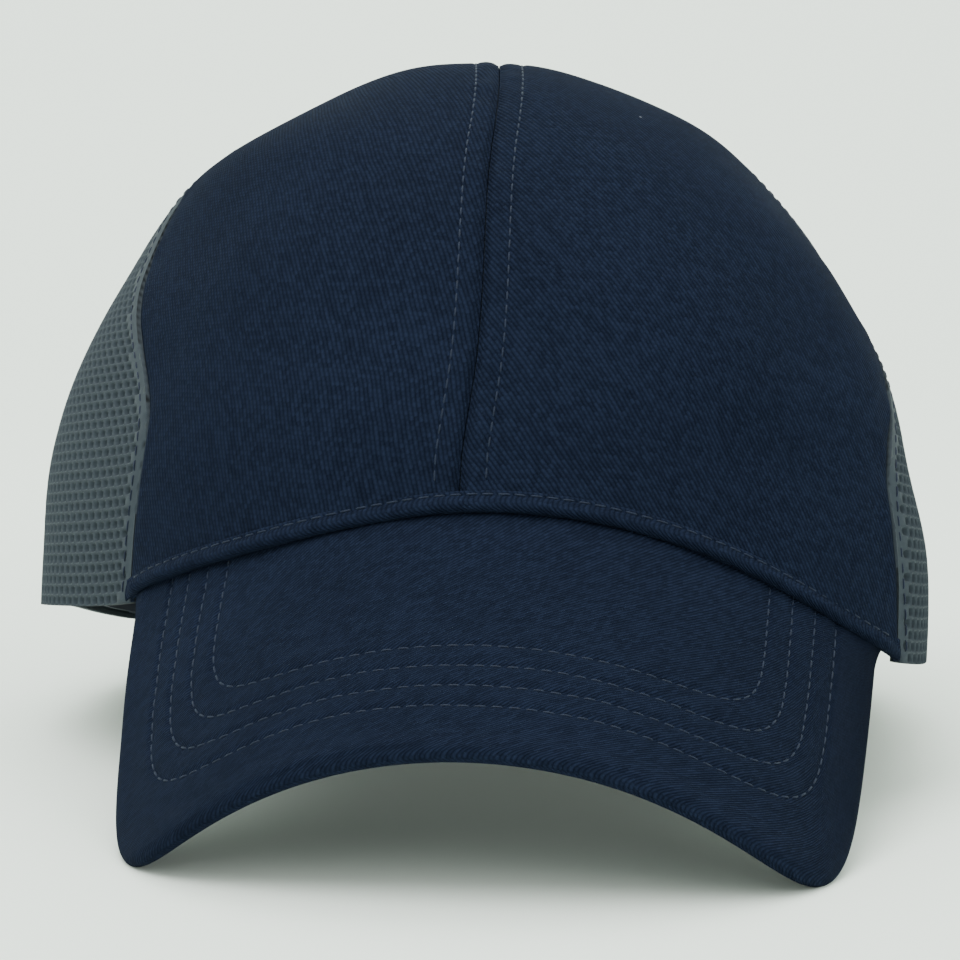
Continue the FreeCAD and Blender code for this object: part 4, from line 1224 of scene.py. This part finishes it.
def straps():
    webbing = tape_material("webbing", 0.0011, colours().tape, 0.1, 0.0002)
    hooks, loops = hook_material(), loop_material()
    strap_strip("hook_strap_sewn_end", ANCHOR, ROOT, 1, hook_depth, -STRAP, "cap", webbing, "webbing")
    strap_strip("hook_strap", FREE, TIP, 1, hook_depth, -STRAP, "hook_strap", webbing, "webbing")
    strap_strip("hook_patch", PATCH_START, PATCH_END, 1, level(HOOK_PATCH_DEPTH), -PATCH, "hook_strap", hooks,
                "hook_tape", PATCH_MARGIN)
    strap_strip("loop_strap_sewn_end", ANCHOR, ROOT, -1, loop_depth, STRAP, "cap", webbing, "webbing")
    strap_strip("loop_strap", FREE, TIP, -1, loop_depth, STRAP, "loop_strap", webbing, "webbing")
    strap_strip("loop_patch", PATCH_START, PATCH_END, -1, level(-LAYER_GAP), -PATCH, "loop_strap", loops,
                "loop_tape", PATCH_MARGIN)
    for name, side, body, depth_of in (("hook", 1, "hook_strap", lambda a: hook_depth(a) - STRAP),
                                       ("loop", -1, "loop_strap", lambda a: loop_depth(a))):
        runs = []
        for share in STRAP_ROWS:
            azimuth = np.linspace(FREE + 0.8, TIP - 0.8, 500)
            rise = rise_at(azimuth, np.full(500, STRAP_LIFT + STRAP_HEIGHT * share))
            runs.append(crown_run(side * azimuth, rise, depth_of(azimuth), 50 + side))
        finish_piece(stitch_object(name + "_strap_stitches", runs), body, thread_material(), "webbing")


# share of the tape's width, then the depths of its outside and inside
BINDING_PROFILE = ((1.0, -0.0003, 0.0), (0.93, -0.0006, 0.0001), (0.5, -0.0006, 0.0001),
                   (0.08, -0.0007, 0.0001),
                   (-0.05, -0.0001, 0.0004), (-0.08, 0.0012, 0.0010), (-0.05, 0.0026, 0.0016),
                   (0.08, 0.0030, 0.0021), (0.5, 0.0029, 0.0021), (1.0, 0.0027, 0.0022))


def opening_binding():
    """Tape folded over the edge of the half-moon opening."""
    angle = np.pi * np.linspace(0.008, 0.992, 220)
    skins = []
    for inside in (False, True):
        grid = []
        for out, outer, inner in BINDING_PROFILE:
            out = max(out, 0.01) if inside else out
            margin = BINDING_WIDTH * out
            x = (OPENING_HALF_WIDTH + margin) * np.cos(angle)
            rise = rise_for_height((OPENING_HEIGHT + margin) * np.sin(angle))
            azimuth = back_azimuth(x, rise)
            azimuth = np.where(x < 0, 360 - azimuth, azimuth)
            points = crown(azimuth, rise)
            ripple = 0.0001 * RIPPLE(points)
            grid.append(crown(azimuth, rise, (inner if inside else outer) + ripple))
        skins.append(np.array(grid))
    made = slab("rear_opening_binding", skins[0], skins[1])
    tape = tape_material("cotton_tape", 0.0008, colours().tape)
    return finish_piece(made, "cap", tape, "cotton_tape", "rear_opening_binding")


def sweatband():
    """A folded band of towelling round the inside of the rim."""
    end = ANCHOR - 0.002 * TURN_PER_METRE
    azimuth = np.linspace(-end, end, 420)
    shares = clustered(34, 0.35, 0.35)
    skins = []
    for face in (0.0, 1.0):
        grid = []
        for share in shares:
            rise = edge_rise(azimuth, SWEATBAND_LIFT + SWEATBAND_HEIGHT * share, SWEATBAND_DEPTH)
            points = crown(azimuth, rise)
            nip = 0.0007 * (bump(share, 0.04) + bump(1 - share, 0.04)) + 0.0004 * bump(share - 0.88, 0.03)
            puff = 0.00025 * RIPPLE(points) * face
            depth = SWEATBAND_DEPTH + face * SWEATBAND + nip * (1 - 2 * face) - puff
            grid.append(crown(azimuth, rise, depth))
        skins.append(np.array(grid))
    made = slab("sweatband", *skins)
    terry = grain_material("terry", tuple(1.1 * c for c in colours().tape), 0.95, 1100.0, 0.0006, 0.25, 0.3)
    return finish_piece(made, "cap", terry, "terry", "sweatband")


def seam_tapes():
    tape = tape_material("cotton_tape", 0.0008, colours().tape)
    tip = tip_rise(0.012)
    for name, seam, side, foot_height in (
            ("seam_tape_front", CENTRE_SEAM, 1, None), ("seam_tape_front_left", FRONT_SEAM, 1, None),
            ("seam_tape_front_right", FRONT_SEAM, -1, None), ("seam_tape_rear_left", REAR_SEAM, 1, None),
            ("seam_tape_rear_right", REAR_SEAM, -1, None),
            ("seam_tape_back", BACK_SEAM, 1, OPENING_HEIGHT + BINDING_WIDTH + 0.001)):
        up = np.linspace(0, 1, 110)
        middle = seam_azimuth(seam, up)
        foot = edge_rise(side * middle, 0.0014, TAPE_DEPTH)
        if foot_height:
            foot = rise_for_height(np.full(up.shape, foot_height))
        rise = foot + (tip(middle) - foot) * up
        radius = np.hypot(*np.moveaxis(on_crown(middle, rise)[..., :2], -1, 0))
        reach = np.linspace(-0.0045, 0.0045, 14)
        azimuth = side * (middle[:, None] + np.degrees(reach[None] / radius[:, None]))
        if foot_height:
            base = rise[:, None] + 0 * azimuth
        else:
            start = edge_rise(azimuth, 0.0014, TAPE_DEPTH)
            base = start + (tip(azimuth) - start) * up[:, None]
        crease = 0.0002 * bump(reach, 0.0012)[None]
        made = slab(name, crown(azimuth, base, TAPE_DEPTH), crown(azimuth, base, TAPE_DEPTH + TAPE - crease))
        finish_piece(made, "cap", tape, "cotton_tape", name)


def care_label():
    """Blank satin label, sewn at its ends, with a slight curl."""
    half = np.degrees(LABEL_WIDTH / 2 / np.hypot(*on_crown(np.array(LABEL_AZIMUTH), np.array(0.0))[:2]))
    azimuth = np.linspace(LABEL_AZIMUTH - half, LABEL_AZIMUTH + half, 60)
    low = edge_height(np.array([LABEL_AZIMUTH]), 0.0)[0] + SWEATBAND_LIFT + LABEL_LIFT
    skins = []
    for face in (0.0, 0.0004):
        grid = []
        for share in np.linspace(0, 1, 30):
            rise = rise_at(azimuth, np.full(azimuth.shape, low + LABEL_HEIGHT * share))
            curl = 0.0006 * share ** 3 + 0.0001 * RIPPLE(crown(azimuth, rise))
            grid.append(crown(azimuth, rise, SWEATBAND_DEPTH + SWEATBAND + LAYER_GAP + 0.0002 + face + curl))
        skins.append(np.array(grid))
    made = slab("care_label", *skins)
    satin = tape_material("label_cloth", 0.0004, colours().label, 0.2, 0.00005)
    return finish_piece(made, "cap", satin, "label_cloth", "care_label")


# ---------------------------------------------------------------- the padded insert
def shell_depth(rise):
    return SHELL_CLEARANCE + (SHELL_TOP_CLEARANCE - SHELL_CLEARANCE) * smooth((rise - 20.0) / 28.0)


def shell_rim(azimuth):
    forward = np.cos(np.radians(azimuth))
    end = np.where(forward > 0, SHELL_RIM_FRONT, SHELL_RIM_BACK)
    return SHELL_RIM_SIDE + (end - SHELL_RIM_SIDE) * smooth(np.abs(forward) * 1.15)


def even_crown(azimuth, rise, depth):
    """The insert keeps the even shape, whatever the cloth does."""
    return on_crown(azimuth, rise) - crown_normal(azimuth, rise) * np.asarray(depth)[..., None]


def even_rise_at(azimuth, height):
    return halve(lambda rise: on_crown(azimuth, rise)[..., 2] < height,
                 np.full(azimuth.shape, LOWEST_RISE), np.full(azimuth.shape, HIGHEST_RISE))


def rim_pad(name, middle, half_span, channels):
    """A crowned pad with pulled-in sides and pressed channels."""
    shares, ups = clustered(110, 0.35, 0.35), clustered(70, 0.35, 0.35)
    s, t = np.meshgrid(shares, ups)
    across, along = 2 * s - 1, 2 * t - 1
    pinch = 1 - 0.045 * (1 - along ** 2) * np.abs(across) ** 3
    azimuth = middle + half_span * across * pinch
    foot = even_rise_at(azimuth, shell_rim(azimuth) + PAD_RIM_LIFT)
    rise = foot + (tip_rise(PAD_TOP_RADIUS)(azimuth) - foot) * (0.02 + 0.96 * t)
    crowned = (1 - np.abs(across) ** 7) ** 0.5 * (1 - np.abs(along) ** 7) ** 0.5
    grooves = sum(bump(across - place, 0.05) for place in channels) + bump(along - 0.1, 0.07)
    thick = PAD * (0.12 + 0.88 * crowned) * (1 - 0.30 * np.minimum(grooves, 1) * crowned)
    back = shell_depth(rise) + SHELL + LAYER_GAP
    made = slab(name, even_crown(azimuth, rise, back), even_crown(azimuth, rise, back + thick))
    finish_piece(made, "insert", foam_material(), "foam", name)
    return made


def crown_pad():
    turns = np.linspace(0, 360, 181)[:-1]
    ups = clustered(60, 0.35, 0.35)
    azimuth, t = np.meshgrid(turns, ups)
    along = 2 * t - 1
    low, high = tip_rise(CROWN_PAD_RADIUS - 0.0004), tip_rise(CROWN_PAD_HOLE + 0.0004)
    rise = low(azimuth) + (high(azimuth) - low(azimuth)) * t
    crowned = (1 - np.abs(along) ** 7) ** 0.5
    spokes = bump(np.sin(np.radians(azimuth * 3)), 0.16)
    thick = PAD * (0.12 + 0.88 * crowned) * (1 - 0.3 * spokes * crowned)
    back = shell_depth(rise) + SHELL + LAYER_GAP
    skins = [even_crown(azimuth, rise, depth) for depth in (back, back + thick)]
    made = slab("crown_pad", *skins, wrap=True)
    finish_piece(made, "insert", foam_material(), "foam", "crown_pad")
    return made


def grip_squares(name, depths, body, material, slot_name, shape):
    side = 24
    sheet = side * side
    points, faces = [], []
    for azimuth in GRIP_AZIMUTHS:
        centre = on_crown(np.array(azimuth), np.array(GRIP_RISE))
        half = math.degrees(GRIP_SIZE / 2 / np.hypot(centre[0], centre[1]))
        lean = math.degrees(GRIP_SIZE / 2 / CROWN_HEIGHT)
        turns, rises = np.meshgrid(np.linspace(azimuth - half, azimuth + half, side),
                                   np.linspace(GRIP_RISE - lean, GRIP_RISE + lean, side))
        first = len(points) * 2 * sheet
        sheets = [shape(turns, rises, np.full(turns.shape, depth)).reshape(-1, 3) for depth in depths]
        index = np.arange(sheet).reshape(turns.shape) + first
        rim = np.concatenate([index[0], index[1:, -1], index[-1, ::-1][1:], index[::-1, 0][1:]])
        faces += [quads(side, side, first), quads(side, side, first + sheet)[:, ::-1],
                  np.stack([rim[:-1], rim[:-1] + sheet, rim[1:] + sheet, rim[1:]], -1)]
        points.append(np.concatenate(sheets))
    made = add_object(name, np.concatenate(points), np.concatenate(faces))
    return finish_piece(made, body, material, slot_name, name)


# ---------------------------------------------------------------- operators
class CAP_OT_front_panels(bpy.types.Operator):
    """Make the two woven front panels and the interlining behind them"""
    bl_idname = "cap.front_panels"
    bl_label = "Front Panels"

    def execute(self, context):
        stiff = tape_material("buckram", 0.0014, (0.03, 0.033, 0.042), 0.0, 0.0003)
        for side, word in ((1, "left"), (-1, "right")):
            front_panel("front_panel_" + word, side)
            plain_panel("front_buckram_" + word, CENTRE_SEAM, FRONT_SEAM, side, BUCKRAM_DEPTH, BUCKRAM,
                        0.006, 0.014, stiff, "buckram")
        return {"FINISHED"}


class CAP_OT_mesh_panels(bpy.types.Operator):
    """Knit the four mesh panels with their staggered holes"""
    bl_idname = "cap.mesh_panels"
    bl_label = "Mesh Panels"

    def execute(self, context):
        for side, word in ((1, "left"), (-1, "right")):
            knitted("side_panel_" + word, seam_line(FRONT_SEAM, PANEL_GAP, side),
                    seam_line(REAR_SEAM, -PANEL_GAP, side), side)
            knitted("back_panel_" + word, seam_line(REAR_SEAM, PANEL_GAP, side),
                    seam_line(BACK_SEAM, -PANEL_GAP, side), side, off_opening)
        return {"FINISHED"}


class CAP_OT_bill(bpy.types.Operator):
    """Make the bill: two cloths round a board, and the rolled edge above it"""
    bl_idname = "cap.bill"
    bl_label = "Bill"

    def execute(self, context):
        bill_cover("bill_top_cover", True, ["bill_top_cover"])
        bill_cover("bill_bottom_cover", False, ["bill_bottom_cover"])
        bill_board()
        seam_band()
        return {"FINISHED"}


class CAP_OT_stitches(bpy.types.Operator):
    """Sew every visible row of stitches"""
    bl_idname = "cap.stitches"
    bl_label = "Stitches"

    def execute(self, context):
        bill_stitches()
        crown_stitches()
        mesh_stitches()
        return {"FINISHED"}


class CAP_OT_straps(bpy.types.Operator):
    """Make the straps at the back, with their hook and loop patches"""
    bl_idname = "cap.straps"
    bl_label = "Straps"

    def execute(self, context):
        straps()
        return {"FINISHED"}


class CAP_OT_inside(bpy.types.Operator):
    """Make the sweatband, seam tapes, opening binding and blank label"""
    bl_idname = "cap.inside"
    bl_label = "Inside"

    def execute(self, context):
        sweatband()
        seam_tapes()
        opening_binding()
        care_label()
        return {"FINISHED"}


class CAP_OT_insert(bpy.types.Operator):
    """Finish the hard insert and pad it"""
    bl_idname = "cap.insert"
    bl_label = "Insert"

    def execute(self, context):
        shell = frame["nodes"]["hard_shell"]
        shell.data.materials.clear()
        plastic = grain_material("shell_plastic", colours().shell, 0.42, 1200.0, 0.00008, 0.1, wear=0.5)
        shell.data.materials.append(plastic)
        rim_pad("front_pad", 0.0, 44.0, (-0.5, 0.0, 0.5))
        rim_pad("left_pad", 90.0, 30.0, (-0.33, 0.33))
        rim_pad("right_pad", -90.0, 30.0, (-0.33, 0.33))
        rim_pad("rear_pad", 180.0, 36.0, (-0.33, 0.33))
        crown_pad()
        hooks, loops = hook_material(), loop_material()
        grip_squares("crown_loop_squares", (TAPE_DEPTH, TAPE_DEPTH + GRIP), "cap", loops, "loop_tape", crown)
        grip_squares("shell_hook_squares", (TAPE_DEPTH + GRIP + GRIP_GAP, SHELL_TOP_CLEARANCE - LAYER_GAP),
                     "insert", hooks, "hook_tape", even_crown)
        return {"FINISHED"}


CAMERA_PLACE = Vector((0.0687, -0.7926, 0.1793))
CAMERA_AIM = Vector((0.0027, -0.050, 0.0679))
CAMERA_ROLL = math.radians(0.41)
CAMERA_LENS = 139.7


class CAP_OT_stage(bpy.types.Operator):
    """Set the floor and backdrop, the lights and the camera"""
    bl_idname = "cap.stage"
    bl_label = "Stage"

    def execute(self, context):
        stage()
        return {"FINISHED"}


def stage():
    """A pale floor that sweeps up into the backdrop, under soft light."""
    profile = [(-3.0, 0.0), (0.75, 0.0)]
    for turn in np.linspace(0, 90, 14):
        profile.append((0.75 + 0.8 * math.sin(math.radians(turn)), 0.8 - 0.8 * math.cos(math.radians(turn))))
    profile.append((1.55, 3.5))
    points = [(x, y, z) for y, z in profile for x in (-4.0, 4.0)]
    faces = [(2 * i, 2 * i + 1, 2 * i + 3, 2 * i + 2) for i in range(len(profile) - 1)]
    mesh = bpy.data.meshes.new("floor")
    mesh.from_pydata(points, [], faces)
    mesh.shade_smooth()
    floor = bpy.data.objects.new("floor", mesh)
    bpy.context.scene.collection.objects.link(floor)
    material, wires, shader = new_material("floor", 0.6, 0.0, (1, 1, 1), 0.2)
    body = wires.node("ShaderNodeTexCoord").outputs["Object"]
    wires.feed(shader.inputs["Base Color"],
               scaled(wires, colours().floor, wires.ramp(wires.noise(body, 3.0, 3.0), 0.3, 0.7, 0.99, 1.01)))
    floor.data.materials.append(material)

    world = bpy.data.worlds.new("soft")
    world.use_nodes = True
    world.node_tree.nodes["Background"].inputs[0].default_value = (0.92, 1.0, 0.94, 1)
    world.node_tree.nodes["Background"].inputs[1].default_value = 1.75
    bpy.context.scene.world = world

    for name, place_at, aim, size, power in (
            ("key", (-0.5, -0.7, 1.9), (0.0, 0.0, 0.05), 1.5, 40.0),
            ("fill", (1.5, -1.3, 1.1), (0.0, 0.0, 0.08), 1.2, 10.0),
            ("back", (0.0, 0.9, 2.2), (0.0, 0.3, 0.0), 2.0, 30.0)):
        light = bpy.data.lights.new(name, "AREA")
        light.shape = "DISK"
        light.size = size
        light.energy = power
        lamp = bpy.data.objects.new(name, light)
        lamp.location = place_at
        lamp.rotation_euler = (Vector(aim) - Vector(place_at)).to_track_quat("-Z", "Y").to_euler()
        bpy.context.scene.collection.objects.link(lamp)

    camera = bpy.data.objects.new("camera", bpy.data.cameras.new("camera"))
    camera.data.lens = CAMERA_LENS
    camera.data.sensor_width = 36.0
    camera.data.clip_end = 20.0
    camera.location = CAMERA_PLACE
    look = (CAMERA_AIM - CAMERA_PLACE).to_track_quat("-Z", "Y")
    camera.rotation_euler = (look.to_matrix() @ Matrix.Rotation(CAMERA_ROLL, 3, "Z")).to_euler()
    bpy.context.scene.collection.objects.link(camera)
    bpy.context.scene.camera = camera


class CAP_PT_looks(bpy.types.Panel):
    """Buttons and settings of the cap's looks"""
    bl_idname = "CAP_PT_looks"
    bl_label = "Bump Cap"
    bl_space_type = "VIEW_3D"
    bl_region_type = "UI"
    bl_category = "Bump Cap"

    def draw(self, context):
        column = self.layout.column()
        for operator in OPERATORS:
            column.operator(operator.bl_idname)
        for settings in (context.scene.cap_sizes, context.scene.cap_colours):
            for name in settings.bl_rna.properties.keys():
                if name not in ("rna_type", "name"):
                    column.prop(settings, name)


OPERATORS = (CAP_OT_stage, CAP_OT_front_panels, CAP_OT_mesh_panels, CAP_OT_bill, CAP_OT_stitches,
             CAP_OT_straps, CAP_OT_inside, CAP_OT_insert)
CLASSES = (CapSizes, CapColours) + OPERATORS + (CAP_PT_looks,)


def register():
    for made in CLASSES:
        bpy.utils.register_class(made)
    bpy.types.Scene.cap_sizes = PointerProperty(type=CapSizes)
    bpy.types.Scene.cap_colours = PointerProperty(type=CapColours)


def unregister():
    del bpy.types.Scene.cap_colours
    del bpy.types.Scene.cap_sizes
    for made in reversed(CLASSES):
        bpy.utils.unregister_class(made)


def main():
    register()
    bpy.ops.cap.stage()
    bpy.ops.cap.front_panels()
    bpy.ops.cap.mesh_panels()
    bpy.ops.cap.bill()
    bpy.ops.cap.stitches()
    bpy.ops.cap.straps()
    bpy.ops.cap.inside()
    bpy.ops.cap.insert()


if __name__ == "__main__":
    main()
